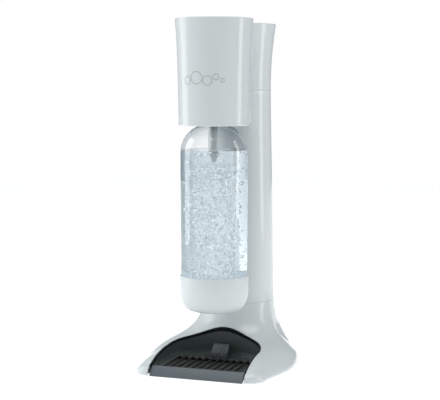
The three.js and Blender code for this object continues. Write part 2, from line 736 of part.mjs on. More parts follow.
// ---------------------------------------------------------------- head pieces
const headSteps = 6;
const headRoomReach = 80;      // past every point of the head, from its axis
const windowHalfWidth = bridgeHalfWidth - 3;
const jawSplit = 0.5;          // half the slot between the two jaws
const gasketSeat = 0.4;
const socketRoom = 0.6;
const tipHole = 1.6;
const tipNose = [2.4, nozzleTip + 4];
const frameHole = 12;
const screwReach = 18;         // the frame's screws, beside the axis
const screwBack = 8;           // and in front of it
const screwCap = 2;
const reliefPlace = [-24, 6, 0];
const reliefSteps = [[5, 0], [5, 7], [2.6, 8], [2.6, 11]];   // radius and height above the frame
const fittingPlace = [12, 16, 0];
const fittingRadius = 3.6;
const fittingHeight = 3;
const hoseRadius = 2;
const hoseBends = [             // gas hose, from the fitting on the frame to the swivel
  [12, 16.4, 363.95], [12, 19, 366.95], [11.4, 28, pivotZ - 3.5], [pipeX, 40, pivotZ - 1.5],
];
const swivelEnds = [8, 13];
const guideHole = stemRadius + gap;
const buttonRim = 6;
const buttonRound = 1.5;
const dishInset = 8;
const dishStep = 0.4;          // share of the dish that falls at its edge
const coilSteps = 14;
const wireSides = 5;

function buildHead() {
  const shell = tubeShell(headRadius, headBottom, headTop, headWall, headSteps);
  const window = block(-windowHalfWidth, windowHalfWidth, collarHole, headRoomReach, bridgeSlotBottom,
    bridgeTop - bridgeWall);
  add(head, "head_shroud", shell.subtract(window), glossWhite);

  const inside = (z) => headRadius(z) - headWall - gap;
  add(head, "neck_collar", ring(collarHole, inside(collarBottom), collarBottom,
    collarBottom + collarThickness), greyPlastic);

  const jaw = ring(flangeRadius + gap, jawOuterRadius, jawBottom, jawTop, fineSegments);
  const leftHalf = block(-headRoomReach, -jawSplit, -headRoomReach, headRoomReach, 0, headTop);
  const rightHalf = block(jawSplit, headRoomReach, -headRoomReach, headRoomReach, 0, headTop);
  add(head, "snap_jaw_left", jaw.intersect(leftHalf), greyPlastic);
  add(head, "snap_jaw_right", jaw.intersect(rightHalf), greyPlastic);

  const gasketBottom = mouthTop + gasketSeat;
  const socketTop = gasketBottom + gasketThickness + gap;
  add(head, "nozzle_block", turned([
    [0, socketTop], [mouthRadius + socketRoom, socketTop],
    [mouthRadius + socketRoom, blockBottom], [blockRadius, blockBottom], [blockRadius, blockTop],
    [0, blockTop],
  ], fineSegments), greyPlastic);
  add(head, "neck_gasket", ring(nozzleRadius + gap, mouthRadius + gap, gasketBottom,
    gasketBottom + gasketThickness, mediumSegments), blackRubber);
  add(head, "nozzle_tube", disc(nozzleRadius, nozzleStep + gap, socketTop - gap), greyPlastic);
  add(head, "nozzle_tip", turned([
    [0, nozzleTip], [tipHole, nozzleTip], tipNose, [nozzleWideRadius, nozzleWideEnd],
    [nozzleWideRadius, nozzleStep], [0, nozzleStep],
  ], smallSegments), greyPlastic);

  const frameBase = blockTop + gap;
  const earBase = frameBase + 0.5;
  const pivotReach = pivotY - bottleY;
  const ear = [[24, earBase], [39, earBase], [pivotReach + 6, pivotZ - 5],
    [pivotReach + 6, pivotZ + 5], [pivotReach - 5, pivotZ + 5.5], [30, pivotZ - 10]];
  let frame = disc(inside(frameBase), frameBase, frameBase + frameThickness, roundSegments);
  frame = frame.subtract(disc(frameHole, frameBase - overcut, frameBase + frameThickness + overcut,
    mediumSegments));
  for (const side of [-1, 1]) {
    const [x0, x1] = [side * earInnerX, side * earOuterX].sort((a, b) => a - b);
    frame = frame.add(sidePrism(ear, x0, x1));
  }
  frame = frame.subtract(rodAlongX(pivotRadius + gap, -headRoomReach, headRoomReach, pivotReach, pivotZ));
  for (const side of [-1, 1]) {
    frame = frame.subtract(disc(screwShankRadius + gap, frameBase - overcut,
      frameBase + frameThickness + overcut).translate([side * screwReach, -screwBack, 0]));
  }
  add(head, "head_frame", frame, aluminium);

  const frameUpper = frameBase + frameThickness + gap;
  for (const [name, side] of [["left", -1], ["right", 1]]) {
    add(head, `frame_screw_${name}`, turned([
      [0, frameBase], [screwShankRadius, frameBase], [screwShankRadius, frameUpper],
      [screwHeadRadius, frameUpper], [screwHeadRadius, frameUpper + screwCap], [0, frameUpper + screwCap],
    ], smallSegments), steel).position.set(side * screwReach, -screwBack, 0);
  }
  add(head, "relief_valve", turned([
    [0, frameUpper], ...reliefSteps.map(([radius, rise]) => [radius, frameUpper + rise]),
    [0, frameUpper + reliefSteps.at(-1)[1]],
  ], smallSegments), brass).position.set(...reliefPlace);
  add(head, "hose_fitting", turned([
    [0, frameUpper], [fittingRadius, frameUpper], [fittingRadius, frameUpper + fittingHeight],
    [0, frameUpper + fittingHeight],
  ], smallSegments), brass).position.set(...fittingPlace);
  add(head, "swivel_union", rodAlongX(swivelRadius, ...swivelEnds, pivotReach, pivotZ), brass);
  add(head, "gas_hose", tubeAlong([
    [fittingPlace[0], fittingPlace[1], frameUpper + fittingHeight + 2 * gap], ...hoseBends,
    [pipeX, pivotReach - swivelRadius - 2 * gap, pivotZ],
  ], hoseRadius, pipeSteps), blackRubber);

  add(head, "button_guide", ring(guideHole, inside(guideBottom), guideBottom,
    guideBottom + guideThickness), greyPlastic);
  const buttonBottom = buttonTop - buttonThickness;
  const buttonRadius = inside(buttonBottom - buttonTravel) - slideGap + gap;
  add(head, "carbonation_button", turned([
    [0, buttonBottom], [buttonRadius, buttonBottom], [buttonRadius, buttonTop - buttonRound],
    [buttonRadius - buttonRound, buttonTop], [buttonRadius - buttonRim, buttonTop],
    ...steps(0, 1, tubeSteps).map((share) => [(buttonRadius - dishInset) * (1 - share),
      buttonTop - buttonDish * (dishStep + (1 - dishStep) * share)]),
  ]), glossWhite);
  add(head, "button_stem", disc(stemRadius, leverTop + gasketSeat, buttonBottom - gap), greyPlastic);

  const springBottom = guideBottom + guideThickness + gap + springWire;
  const springTop = buttonBottom - gap - springWire;
  const coil = steps(0, springTurns, springTurns * smallSegments).map((turn) => [
    springRadius * Math.cos(2 * Math.PI * turn), springRadius * Math.sin(2 * Math.PI * turn),
    springBottom + ((springTop - springBottom) * turn) / springTurns]);
  add(head, "button_spring", tubeAlong(coil, springWire, springTurns * coilSteps, wireSides), steel);
}

// ---------------------------------------------------------------- bottle
function buildBottle() {
  const cupOuter = bottleRadius + gap + cupWall;
  const outside = roundedFoot(cornerFlat, cupOuter, cupBottom, cornerTop, 5);
  const inside = roundedFoot(cornerFlat, cupOuter - cupWall, cupBottom + cupWall, cornerTop, 5);
  add(head, "base_cup", turned([
    [0, cupBottom], ...outside, [cupOuter, cupRim], [cupOuter - cupWall, cupRim],
    ...inside.reverse(), [0, cupBottom + cupWall],
  ]), cupWhite);

  const skin = [
    [0, bottleBottom + 3], ...roundedFoot(cornerFlat - 1.5, bottleRadius, bottleBottom, cornerTop, 4),
    ...domeArc(domeRadius, 5), [neckRadius, flangeBottom - 1], [flangeRadius, flangeBottom],
    [flangeRadius, flangeTop], [mouthRadius, flangeTop + 0.8], [mouthRadius, mouthTop],
  ];
  const lining = [
    [0, bottleBottom + 3 + bottleWall],
    ...roundedFoot(cornerFlat - 2, bottleRadius - bottleWall, bottleBottom + bottleWall, cornerTop, 4),
    ...domeArc(domeRadius - bottleWall, 5), [neckRadius - bottleWall, flangeTop - 4],
    [mouthRadius - bottleWall, flangeTop + 1], [mouthRadius - bottleWall, mouthTop],
  ];
  add(head, "bottle", turned([...skin, ...lining.reverse()]), clearPlastic);
}

buildBase();
buildTray();
buildTower();
buildBridge();
buildHead();
buildBottle();

export default carbonator;
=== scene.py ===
# %% [markdown]
# Soda carbonator, the looks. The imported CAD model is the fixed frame: it holds every piece at its
# real place and size. This script adds the camera, the light, the finishes, and the smooth, detailed
# pieces that stand for the plain CAD ones. Everything is in metres, +Z up, with the user at -Y.

# %% Load the frame and keep its box
import json
import math
import random

import bmesh
import bpy
from mathutils import Matrix, Vector, geometry


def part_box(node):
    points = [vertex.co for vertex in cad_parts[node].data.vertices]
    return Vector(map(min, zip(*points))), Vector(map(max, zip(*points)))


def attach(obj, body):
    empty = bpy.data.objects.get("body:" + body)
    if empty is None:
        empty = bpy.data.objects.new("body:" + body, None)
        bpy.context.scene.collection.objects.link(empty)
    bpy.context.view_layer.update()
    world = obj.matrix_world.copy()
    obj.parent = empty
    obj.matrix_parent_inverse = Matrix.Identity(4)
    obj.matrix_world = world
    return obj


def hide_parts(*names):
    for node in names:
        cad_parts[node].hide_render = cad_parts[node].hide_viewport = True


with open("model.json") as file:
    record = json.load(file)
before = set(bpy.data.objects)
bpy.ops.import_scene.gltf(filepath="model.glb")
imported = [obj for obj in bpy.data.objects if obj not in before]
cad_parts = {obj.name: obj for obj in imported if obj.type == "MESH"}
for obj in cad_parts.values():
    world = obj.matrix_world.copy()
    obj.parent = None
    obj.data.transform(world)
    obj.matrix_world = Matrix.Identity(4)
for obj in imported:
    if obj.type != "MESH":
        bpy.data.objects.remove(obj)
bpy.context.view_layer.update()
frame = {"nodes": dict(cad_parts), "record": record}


def add_object(name, data):
    made = bpy.data.objects.new(name, data)
    bpy.context.scene.collection.objects.link(made)
    return made


mm = 0.001

# %% [markdown]
# The machine has two upright axes: the bottle hangs under the head on one, and the round tower with
# the gas cylinder stands on the other. Both are read from the boxes of the CAD pieces.

# %% The two axes
def middle(node):
    low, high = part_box(node)
    return Vector([(a + b) / 2 for a, b in zip(low, high)])


def foot_and_top(node):
    """The lowest and the highest point of a CAD piece, in millimetres."""
    low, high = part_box(node)
    return low.z / mm, high.z / mm


def radius_of(node):
    """Half the width of a CAD piece, in millimetres."""
    low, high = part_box(node)
    return (high.x - low.x) / 2 / mm


bottle_y = middle("bottle").y
tower_y = middle("column_shell").y
print("bottle axis y", round(bottle_y / mm, 1), "tower axis y", round(tower_y / mm, 1))

# %% [markdown]
# The camera stands a metre and a half away, a little to the machine's right and at about the height
# of the head, and looks slightly down. A long lens keeps the uprights nearly parallel.

# %% Camera
camera_azimuth = math.radians(18.95)
camera_distance = 1.444
camera_height = 0.353
camera_heading = math.radians(18.66)
camera_pitch = math.radians(5.54)

camera_data = bpy.data.cameras.new("camera")
camera_data.lens = 94.75
camera_data.sensor_width = 36
camera = add_object("camera", camera_data)
camera.location = (camera_distance * math.sin(camera_azimuth),
                   bottle_y - camera_distance * math.cos(camera_azimuth), camera_height)
camera.rotation_euler = (math.radians(90) - camera_pitch, 0, camera_heading)
bpy.context.scene.camera = camera
print("camera at", [round(value, 3) for value in camera.location])

# %% [markdown]
# Shader maths reads best as Python. A Wire is one socket of a shader graph, and its operators add
# Math nodes. A Graph makes any node: it sets the node's settings, then its inputs, and gives back the
# wanted output as a Wire. A Finish is the Graph of one material.

# %% Wires, graphs and finishes
class Wire:
    def __init__(self, graph, socket):
        self.graph = graph
        self.socket = socket

    def math(self, operation, *terms):
        return self.graph.node("ShaderNodeMath", {"operation": operation}, dict(enumerate(terms)))

    def __add__(self, other):
        return self.math("ADD", self, other)

    def __mul__(self, other):
        return self.math("MULTIPLY", self, other)


class Graph:
    def __init__(self, tree):
        self.nodes = tree.nodes
        self.links = tree.links

    def node(self, kind, settings=None, inputs=None, output=0):
        made = self.nodes.new(kind)
        for key, value in (settings or {}).items():
            setattr(made, key, value)
        for key, value in (inputs or {}).items():
            self.feed(made.inputs[key], value)
        return Wire(self, made.outputs[output])

    def feed(self, socket, value):
        if isinstance(value, Wire):
            self.links.new(value.socket, socket)
        else:
            socket.default_value = value

    def blend(self, factor, first, second):
        return self.node("ShaderNodeMix", {"data_type": "RGBA"},
                         {0: factor, 6: first, 7: second}, output=2)


class Finish(Graph):
    def __init__(self, name, **constants):
        self.material = bpy.data.materials.new(name)
        self.material.use_nodes = True
        super().__init__(self.material.node_tree)
        self.shader = self.nodes["Principled BSDF"]
        self.drive(**constants)

    def drive(self, **sockets):
        for socket, value in sockets.items():
            self.feed(self.shader.inputs[socket.replace("_", " ")], value)

    def place(self):
        return self.node("ShaderNodeTexCoord", output="Object")

    def noise(self, scale, detail, roughness=0.5):
        return self.node("ShaderNodeTexNoise", {}, {
            "Vector": self.place(), "Scale": scale, "Detail": detail, "Roughness": roughness})

    def bump(self, height, strength, distance):
        return self.node("ShaderNodeBump", {}, {
            "Height": height, "Strength": strength, "Distance": distance})


def shade(red, green, blue):
    return (red, green, blue, 1)

# %% [markdown]
# The finishes. Every one is procedural and reads object coordinates, so nothing swims when a joint
# moves. The white shells carry a faint orange peel, the dark mouldings a fine spark-eroded grain, and
# the metals a slight streak or mottle.

# %% Finishes
gloss_white = Finish("gloss_white", Roughness=0.12, IOR=1.48)
gloss_white.drive(
    Base_Color=gloss_white.blend(
        gloss_white.noise(7, 2), shade(0.60, 0.64, 0.65), shade(0.64, 0.68, 0.69)),
    Roughness=gloss_white.noise(40, 3) * 0.05 + 0.10,
    Normal=gloss_white.bump(gloss_white.noise(420, 2), 0.05, 0.0004))

cup_white = Finish("cup_white", IOR=1.46)
cup_white.drive(
    Base_Color=cup_white.blend(cup_white.noise(14, 2), shade(0.61, 0.65, 0.66), shade(0.65, 0.69, 0.70)),
    Roughness=cup_white.noise(60, 3) * 0.08 + 0.34,
    Normal=cup_white.bump(cup_white.noise(900, 2), 0.12, 0.0003))


def moulded(name, dark, light, rough, grain=1500):
    made = Finish(name, IOR=1.46)
    made.drive(
        Base_Color=made.blend(made.noise(30, 3), dark, light),
        Roughness=made.noise(grain / 3, 2) * 0.14 + rough,
        Normal=made.bump(made.noise(grain, 2), 0.3, 0.0002))
    return made


dark_plastic = moulded("dark_plastic", shade(0.048, 0.062, 0.060), shade(0.060, 0.076, 0.074), 0.42)
brown_black = moulded("brown_black_plastic", shade(0.010, 0.007, 0.006), shade(0.018, 0.012, 0.010), 0.30)
tab_plastic = moulded("tab_plastic", shade(0.085, 0.098, 0.100), shade(0.105, 0.118, 0.120), 0.36)
trim_black = moulded("trim_black", shade(0.002, 0.003, 0.004), shade(0.004, 0.006, 0.007), 0.42)
trim_black.shader.inputs["Specular IOR Level"].default_value = 0.12
grey_satin = moulded("grey_satin", shade(0.078, 0.098, 0.112), shade(0.098, 0.118, 0.132), 0.34, 1100)
grey_plastic = moulded("grey_plastic", shade(0.25, 0.27, 0.28), shade(0.31, 0.33, 0.34), 0.36)
black_rubber = moulded("black_rubber", shade(0.010, 0.010, 0.010), shade(0.018, 0.018, 0.018), 0.75)
print_grey = moulded("print_grey", shade(0.22, 0.25, 0.26), shade(0.27, 0.30, 0.31), 0.35, 900)


def metal(name, dark, light, rough, stretch):
    made = Finish(name, Metallic=1.0)
    streaks = made.node("ShaderNodeMapping", {}, {"Vector": made.place(), "Scale": stretch})
    streak = made.node("ShaderNodeTexNoise", {}, {"Vector": streaks, "Scale": 300, "Detail": 3.0})
    made.drive(
        Base_Color=made.blend(streak, dark, light),
        Roughness=streak * 0.16 + rough,
        Normal=made.bump(streak, 0.08, 0.0002))
    return made


steel = metal("steel", shade(0.42, 0.43, 0.44), shade(0.52, 0.53, 0.54), 0.24, (1, 0.08, 1))
brass = metal("brass", shade(0.50, 0.36, 0.15), shade(0.62, 0.46, 0.22), 0.26, (1, 1, 0.2))
aluminium = metal("aluminium", shade(0.48, 0.50, 0.51), shade(0.58, 0.60, 0.61), 0.30, (1, 1, 0.1))
print(len(bpy.data.materials), "materials")

# %% [markdown]
# The clear bottle really refracts, with slow ripples in its wall, and the water inside is a second
# clear body that overlaps the wall a little, so no film of air is left between them. Both carry painted
# shade where they are seen at a glancing angle, a darker tint in place of the dark edges of refraction.
# Bubbles are bodies of air inside the water. Froth is a pale, speckled skin with gaps between its
# patches that glows with painted light, and mist is a dusting of pale specks.

# %% Clear finishes
clear_bottle = Finish("clear_bottle", Transmission_Weight=1.0, IOR=1.42)
# Painted shade: the bottle's colour darkens towards its glancing edges.
glancing_shade = clear_bottle.node("ShaderNodeLayerWeight", {}, {"Blend": 0.22}, output="Facing")
bottle_face = clear_bottle.blend(
    clear_bottle.noise(20, 2), shade(0.965, 0.98, 0.985), shade(0.985, 0.992, 1.0))
clear_bottle.drive(
    Base_Color=clear_bottle.blend(glancing_shade, bottle_face, shade(0.34, 0.46, 0.54)),
    Roughness=clear_bottle.noise(50, 2) * 0.02,
    Normal=clear_bottle.bump(clear_bottle.noise(26, 2), 0.10, 0.002))

water = Finish("water", Transmission_Weight=1.0, IOR=1.333)
# Painted shade: the water's colour darkens towards its glancing edges.
glancing_shade = water.node("ShaderNodeLayerWeight", {}, {"Blend": 0.30}, output="Facing")
water_face = water.blend(water.noise(35, 3), shade(0.84, 0.90, 0.94), shade(0.90, 0.945, 0.97))
water.drive(
    Base_Color=water.blend(glancing_shade, water_face, shade(0.46, 0.62, 0.72)),
    Roughness=water.noise(80, 2) * 0.04,
    Normal=water.bump(water.noise(60, 3), 0.16, 0.003))

air = Finish("air", Transmission_Weight=1.0, IOR=0.75)
air.drive(Base_Color=air.blend(air.noise(200, 1), shade(0.95, 0.97, 1.0), shade(1, 1, 1)),
          Roughness=air.noise(200, 1) * 0.02)

# Painted light: the froth glows with its own speckled colour, though it is no lamp.
froth = Finish("froth", Roughness=0.4, Emission_Strength=0.50)
speckle = froth.node("ShaderNodeMapRange", {}, {
    "Value": froth.noise(330, 4, 0.75), "From Min": 0.41, "From Max": 0.60})
patches = froth.node("ShaderNodeMapRange", {}, {
    "Value": froth.noise(70, 6, 0.72), "From Min": 0.42, "From Max": 0.62, "To Max": 0.78})
froth_tone_and_glow = froth.blend(speckle, shade(0.26, 0.34, 0.38), shade(0.98, 1.0, 1.0))
froth.drive(Base_Color=froth_tone_and_glow, Emission_Color=froth_tone_and_glow, Alpha=patches)

nozzle_grey = moulded("nozzle_grey", shade(0.50, 0.54, 0.55), shade(0.62, 0.66, 0.67), 0.14)

mist = Finish("mist", Roughness=0.5)
mist.drive(Base_Color=mist.blend(mist.noise(200, 2), shade(0.80, 0.86, 0.90), shade(0.92, 0.96, 0.98)),
           Alpha=mist.noise(400, 2) * 0.5 + 0.25)
print(len(bpy.data.materials), "materials with the clear ones")

# %% [markdown]
# Shapes. Round pieces are a side outline spun about an upright axis, with every corner of the outline
# rounded first. Sizes below are in millimetres and become metres when a piece is made. An arc has its
# centre where the corner's own radius puts it, but it is always 1 mm in radius, since slerp gives
# unit vectors.

# %% Outlines and turned pieces
def rounded(corners, arc=5):
    """A closed outline from (across, up, radius) corners; radius 0 leaves a corner sharp."""
    count = len(corners)
    outline = []
    for index, (across, up, radius) in enumerate(corners):
        here = Vector((across, up))
        if not radius:
            outline.append(here)
            continue
        back = (Vector(corners[index - 1][:2]) - here).normalized()
        ahead = (Vector(corners[(index + 1) % count][:2]) - here).normalized()
        half = back.angle(ahead) / 2
        centre = here + (back + ahead).normalized() * radius / math.sin(half)
        start = here + back * radius / math.tan(half) - centre
        end = here + ahead * radius / math.tan(half) - centre
        outline += [centre + start.slerp(end, step / arc) for step in range(arc + 1)]
    return outline


def turned(outline, axis_y=0.0, segments=128, closed=True):
    """A bmesh spun from an outline of (radius, height) points."""
    bm = bmesh.new()
    verts = [bm.verts.new((max(point[0], 0) * mm, axis_y, point[1] * mm)) for point in outline]
    pairs = list(zip(verts, verts[1:])) + ([(verts[-1], verts[0])] if closed else [])
    edges = [bm.edges.new(pair) for pair in pairs]
    bmesh.ops.spin(bm, geom=verts + edges, cent=(0, axis_y, 0), axis=(0, 0, 1),
                   angle=2 * math.pi, steps=segments, use_merge=True)
    bmesh.ops.remove_doubles(bm, verts=bm.verts, dist=1e-6)
    bmesh.ops.dissolve_degenerate(bm, edges=bm.edges, dist=1e-7)
    return bm


def sheet(rows, closed=False):
    """A grid of faces with each row of corners moved to its place; closed joins its two sides."""
    bm = bmesh.new()
    if closed:
        rows = [row + row[:1] for row in rows]
    grid = bmesh.ops.create_grid(bm, x_segments=len(rows[0]) - 1, y_segments=len(rows) - 1, size=1)
    places = [place for row in rows for place in row]
    for vert, place in zip(grid["verts"], places):
        vert.co = Vector(place) * mm
    bmesh.ops.remove_doubles(bm, verts=bm.verts, dist=1e-7)
    return bm


def levels(low, high, count):
    return [low + (high - low) * step / count for step in range(count + 1)]


def hollow(radius_at, low, high, wall, count, soft_foot, soft_top):
    """The outline of a round wall whose radius changes with its height."""
    heights = levels(low + 2, high - 2, count)
    outer = [(radius_at(z), z, 0) for z in heights]
    inner = [(radius_at(z) - wall, z, 0) for z in reversed(heights)]
    return rounded([(radius_at(low), low, soft_foot)] + outer
                   + [(radius_at(high), high, soft_top), (radius_at(high) - wall, high, soft_top)]
                   + inner + [(radius_at(low) - wall, low, soft_foot)])


def join(bm, other):
    held = bpy.data.meshes.new("held")
    other.to_mesh(held)
    other.free()
    bm.from_mesh(held)
    bpy.data.meshes.remove(held)

# %% [markdown]
# A finished piece gets its material, smooth shading, the body it moves with, and the CAD pieces it
# stands for. Solidify and Bevel modifiers add a wall or soften sharp edges.

# %% Finishing a piece
def finished(name, bm, body, stands_for, finish, wall=0.0, edge=0.0, turn=35):
    bmesh.ops.recalc_face_normals(bm, faces=bm.faces)
    mesh = bpy.data.meshes.new(name)
    bm.to_mesh(mesh)
    bm.free()
    for polygon in mesh.polygons:
        polygon.use_smooth = True
    mesh.materials.append(finish.material)
    piece = add_object(name, mesh)
    if wall:
        solidify = piece.modifiers.new("wall", "SOLIDIFY")
        solidify.thickness = wall * mm
        solidify.offset = -1
    if edge:
        bevel = piece.modifiers.new("edges", "BEVEL")
        bevel.width = edge * mm
        bevel.segments = 3
        bevel.limit_method = "ANGLE"
        bevel.angle_limit = math.radians(turn)
    else:
        mesh.set_sharp_from_angle(angle=math.radians(turn))
    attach(piece, body)
    if stands_for:
        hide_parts(*stands_for)
    print(name, "has", len(mesh.polygons), "faces and rides on", body)


def turned_piece(name, corners, axis_y, body, stands_for, finish, segments=128):
    bm = turned(rounded(corners), axis_y, segments)
    finished(name, bm, body, stands_for, finish)


# %% [markdown]
# A window is cut by slicing only the faces near it along its four sides, deleting what lies inside,
# and joining the two rims of the hole across the wall.

# %% Cutting windows
def near(bm, low, high):
    """Faces with their middle inside a box, in metres, with the edges and corners they use."""
    faces = [f for f in bm.faces
             if all(a <= value <= b for a, value, b in zip(low, f.calc_center_median(), high))]
    edges = {e for f in faces for e in f.edges}
    verts = {v for f in faces for v in f.verts}
    return faces + list(edges) + list(verts)


def slice_box(bm, low, high, margin=0.006):
    """Slices the faces round a box along its X and Z sides, and gives back the faces inside it."""
    outer_low = Vector(low) - Vector((margin, 0, margin))
    outer_high = Vector(high) + Vector((margin, 0, margin))
    for corner, side in ((low, -1), (high, 1)):
        for axis in (0, 2):
            normal = Vector((0, 0, 0))
            normal[axis] = side
            bmesh.ops.bisect_plane(bm, geom=near(bm, outer_low, outer_high), dist=1e-7,
                                   plane_co=corner, plane_no=normal)
    return [item for item in near(bm, low, high) if isinstance(item, bmesh.types.BMFace)]


def cut_window(bm, low, high):
    bmesh.ops.delete(bm, geom=slice_box(bm, low, high), context="FACES")
    rim = [e for e in bm.edges if e.is_boundary]
    bmesh.ops.bridge_loops(bm, edges=rim)


def cylinder_box(half, axis_y, start, z0, z1):
    """A box behind an upright axis: half as wide each way, from start to well past the shell."""
    past_shell = 60
    return (Vector((-half * mm, axis_y + start * mm, z0 * mm)),
            Vector((half * mm, axis_y + past_shell * mm, z1 * mm)))


# %% [markdown]
# The head. Its shroud tapers down towards the bottle and flares slightly at the rim. At the back it
# has a window for the bridge, and the round rim stands above the push button.

# %% Head shroud
head_foot, head_top = foot_and_top("head_shroud")
head_foot_radius, head_taper = 44, 2.46
rim_flare, rim_flare_power = 2.24, 5.5
head_wall = 2.4
bridge_window = cylinder_box(24, bottle_y, 20, 348, 381.5)


def head_radius(z):
    up = max(0, (z - head_foot) / (head_top - head_foot))
    return head_foot_radius + head_taper * up + rim_flare * up ** rim_flare_power


shroud = turned(hollow(head_radius, head_foot, head_top, head_wall, 22, 0.7, 1.1), bottle_y, 160)
cut_window(shroud, *bridge_window)
finished("head_shroud_skin", shroud, "head", ["head_shroud"], gloss_white)

# %% [markdown]
# The push button is a dished disc inside the rim. A row of bubble rings, printed in grey, decorates
# the front of the head.

# %% Button and printed rings
button_foot, button_top = foot_and_top("carbonation_button")
button_radius = radius_of("carbonation_button")
turned_piece("button_cap", [
    (0, button_foot, 0), (button_radius, button_foot, 0.8), (button_radius, button_top, 2.2),
    (button_radius - 6, button_top, 2.5), (button_radius - 14, button_top - 1.8, 12),
    (12, button_top - 2.9, 10), (0, button_top - 3, 0),
], bottle_y, "button", ["carbonation_button"], gloss_white)

ring_places = ((-21, 362, 5), (-7.5, 365, 7.5), (6.5, 361.5, 5.5), (17, 366, 3.6), (25, 362, 2.4))
ring_half_line = 0.3
ring_lift = 0.06


def on_head(side, z):
    """A place on the front of the head, side millimetres round from its middle."""
    out = head_radius(z) + ring_lift
    turn = side / out
    return (out * math.sin(turn), bottle_y / mm - out * math.cos(turn), z)


rings = bmesh.new()
for side, z, radius in ring_places:
    turns = levels(0, 2 * math.pi, 56)[:-1]
    band = [[on_head(side + reach * math.cos(turn), z + reach * math.sin(turn)) for turn in turns]
            for reach in (radius - ring_half_line, radius + ring_half_line)]
    join(rings, sheet(band, closed=True))
finished("printed_rings", rings, "head", [], print_grey, wall=0.08)

# %% [markdown]
# Inside the head's foot: the collar round the bottle's neck, and the long nozzle that hangs down into
# the bottle. The snap jaws and the nozzle's block stay as the CAD has them.

# %% Collar and nozzle
collar_foot, collar_top = foot_and_top("neck_collar")
collar_radius, collar_hole = radius_of("neck_collar"), 22
turned_piece("collar_ring", [
    (collar_hole, collar_foot, 1), (collar_radius, collar_foot, 0.6),
    (collar_radius, collar_top, 0.6), (collar_hole, collar_top, 1),
], bottle_y, "head", ["neck_collar"], grey_plastic, 96)
tube_foot, tube_top = foot_and_top("nozzle_tube")
tube_radius = 3.85
turned_piece("nozzle_pipe", [
    (0, tube_foot, 0), (tube_radius, tube_foot, 0.3), (tube_radius, tube_top, 0.3), (0, tube_top, 0),
], bottle_y, "head", ["nozzle_tube"], nozzle_grey, 48)
tip_foot, tip_top = foot_and_top("nozzle_tip")
tip_radius, groove_radius = 4.4, 4.0
turned_piece("nozzle_end", [
    (0, tip_foot, 0), (1.6, tip_foot, 0.4), (2.2, tip_foot + 3, 1), (tip_radius, tip_foot + 8, 1),
    (tip_radius, tip_foot + 10, 0.3), (groove_radius, tip_foot + 10.5, 0.2),
    (groove_radius, tip_foot + 11.5, 0.2), (tip_radius, tip_foot + 12, 0.3),
    (tip_radius, tip_top, 0.6), (0, tip_top, 0),
], bottle_y, "head", ["nozzle_tip"], nozzle_grey, 48)

# %% [markdown]
# The tower. The column narrows upwards, the cap above the seam flares again, and its flat top lies a
# little below the rim. At the back a curved cover closes the opening for the gas cylinder; it has a
# finger dish near its top.

# %% Column, rear cover and cap
column_foot, column_top = foot_and_top("column_shell")
cap_foot, cap_top = foot_and_top("tower_cap")
waist_z, waist_radius = 350, 41
column_flare, column_flare_power, column_flare_height = 5.8, 1.15, 278.5
cap_flare, cap_flare_power = 6.6, 2.1
tower_wall = 2.2


def tower_radius(z):
    if z <= waist_z:
        return waist_radius + column_flare * ((waist_z - z) / column_flare_height) ** column_flare_power
    return waist_radius + cap_flare * ((z - waist_z) / (cap_top - waist_z)) ** cap_flare_power


def tower_part(low, high):
    return turned(hollow(tower_radius, low, high, tower_wall, 30, 0.6, 0.6), tower_y, 160)


opening_half, opening_low, opening_high = 36, 86, 334
column = tower_part(column_foot, column_top)
cut_window(column, *cylinder_box(opening_half, tower_y, 10, opening_low, opening_high))
finished("column_skin", column, "frame", ["column_shell"], gloss_white)

cover_gap = 0.3
cover = tower_part(opening_low + cover_gap, opening_high - cover_gap)
cover_box = cylinder_box(opening_half - cover_gap, tower_y, 10, opening_low - 6, opening_high + 6)
kept = set(slice_box(cover, *cover_box))
bmesh.ops.delete(cover, geom=[f for f in cover.faces if f not in kept], context="FACES")
bmesh.ops.holes_fill(cover, edges=[e for e in cover.edges if e.is_boundary])
dish_z, dish_radius, dish_depth = 0.316, 0.015, 0.0025
for vert in cover.verts:
    away = Vector((vert.co.x, 0, vert.co.z - dish_z)).length / dish_radius
    pull = Vector((vert.co.x, vert.co.y - tower_y, 0)).normalized()
    vert.co -= pull * dish_depth * math.exp(-away ** 4)
finished("rear_cover_skin", cover, "cover", ["rear_cover"], gloss_white, edge=0.5)

cap_heights = levels(cap_foot + 2, cap_top - 2, 20)
rim = tower_radius(cap_top)
lid_top, lid_under = cap_top - 2, cap_top - 4.4
cap = turned(rounded(
    [(tower_radius(cap_foot), cap_foot, 0.6)] + [(tower_radius(z), z, 0) for z in cap_heights]
    + [(rim, cap_top, 1.0), (rim - tower_wall, cap_top, 1.0), (rim - 3.4, lid_top, 1.5),
       (0.01, lid_top, 0), (0.01, lid_under, 0), (rim - 6, lid_under, 2)]
    + [(tower_radius(z) - tower_wall, z, 0) for z in reversed(cap_heights[:-1])]
    + [(tower_radius(cap_foot) - tower_wall, cap_foot, 0.6)]), tower_y, 160)
cap_window = (Vector((-0.0145, tower_y - 0.06, 0.354)), Vector((0.0145, tower_y - 0.01, 0.3808)))
cut_window(cap, *cap_window)
finished("cap_skin", cap, "frame", ["tower_cap"], gloss_white)

# %% [markdown]
# The bridge between head and tower is a hollow box with well-rounded long edges. Each end follows the
# round wall that it meets, so every corner point of the ring has its own reach forward and back.

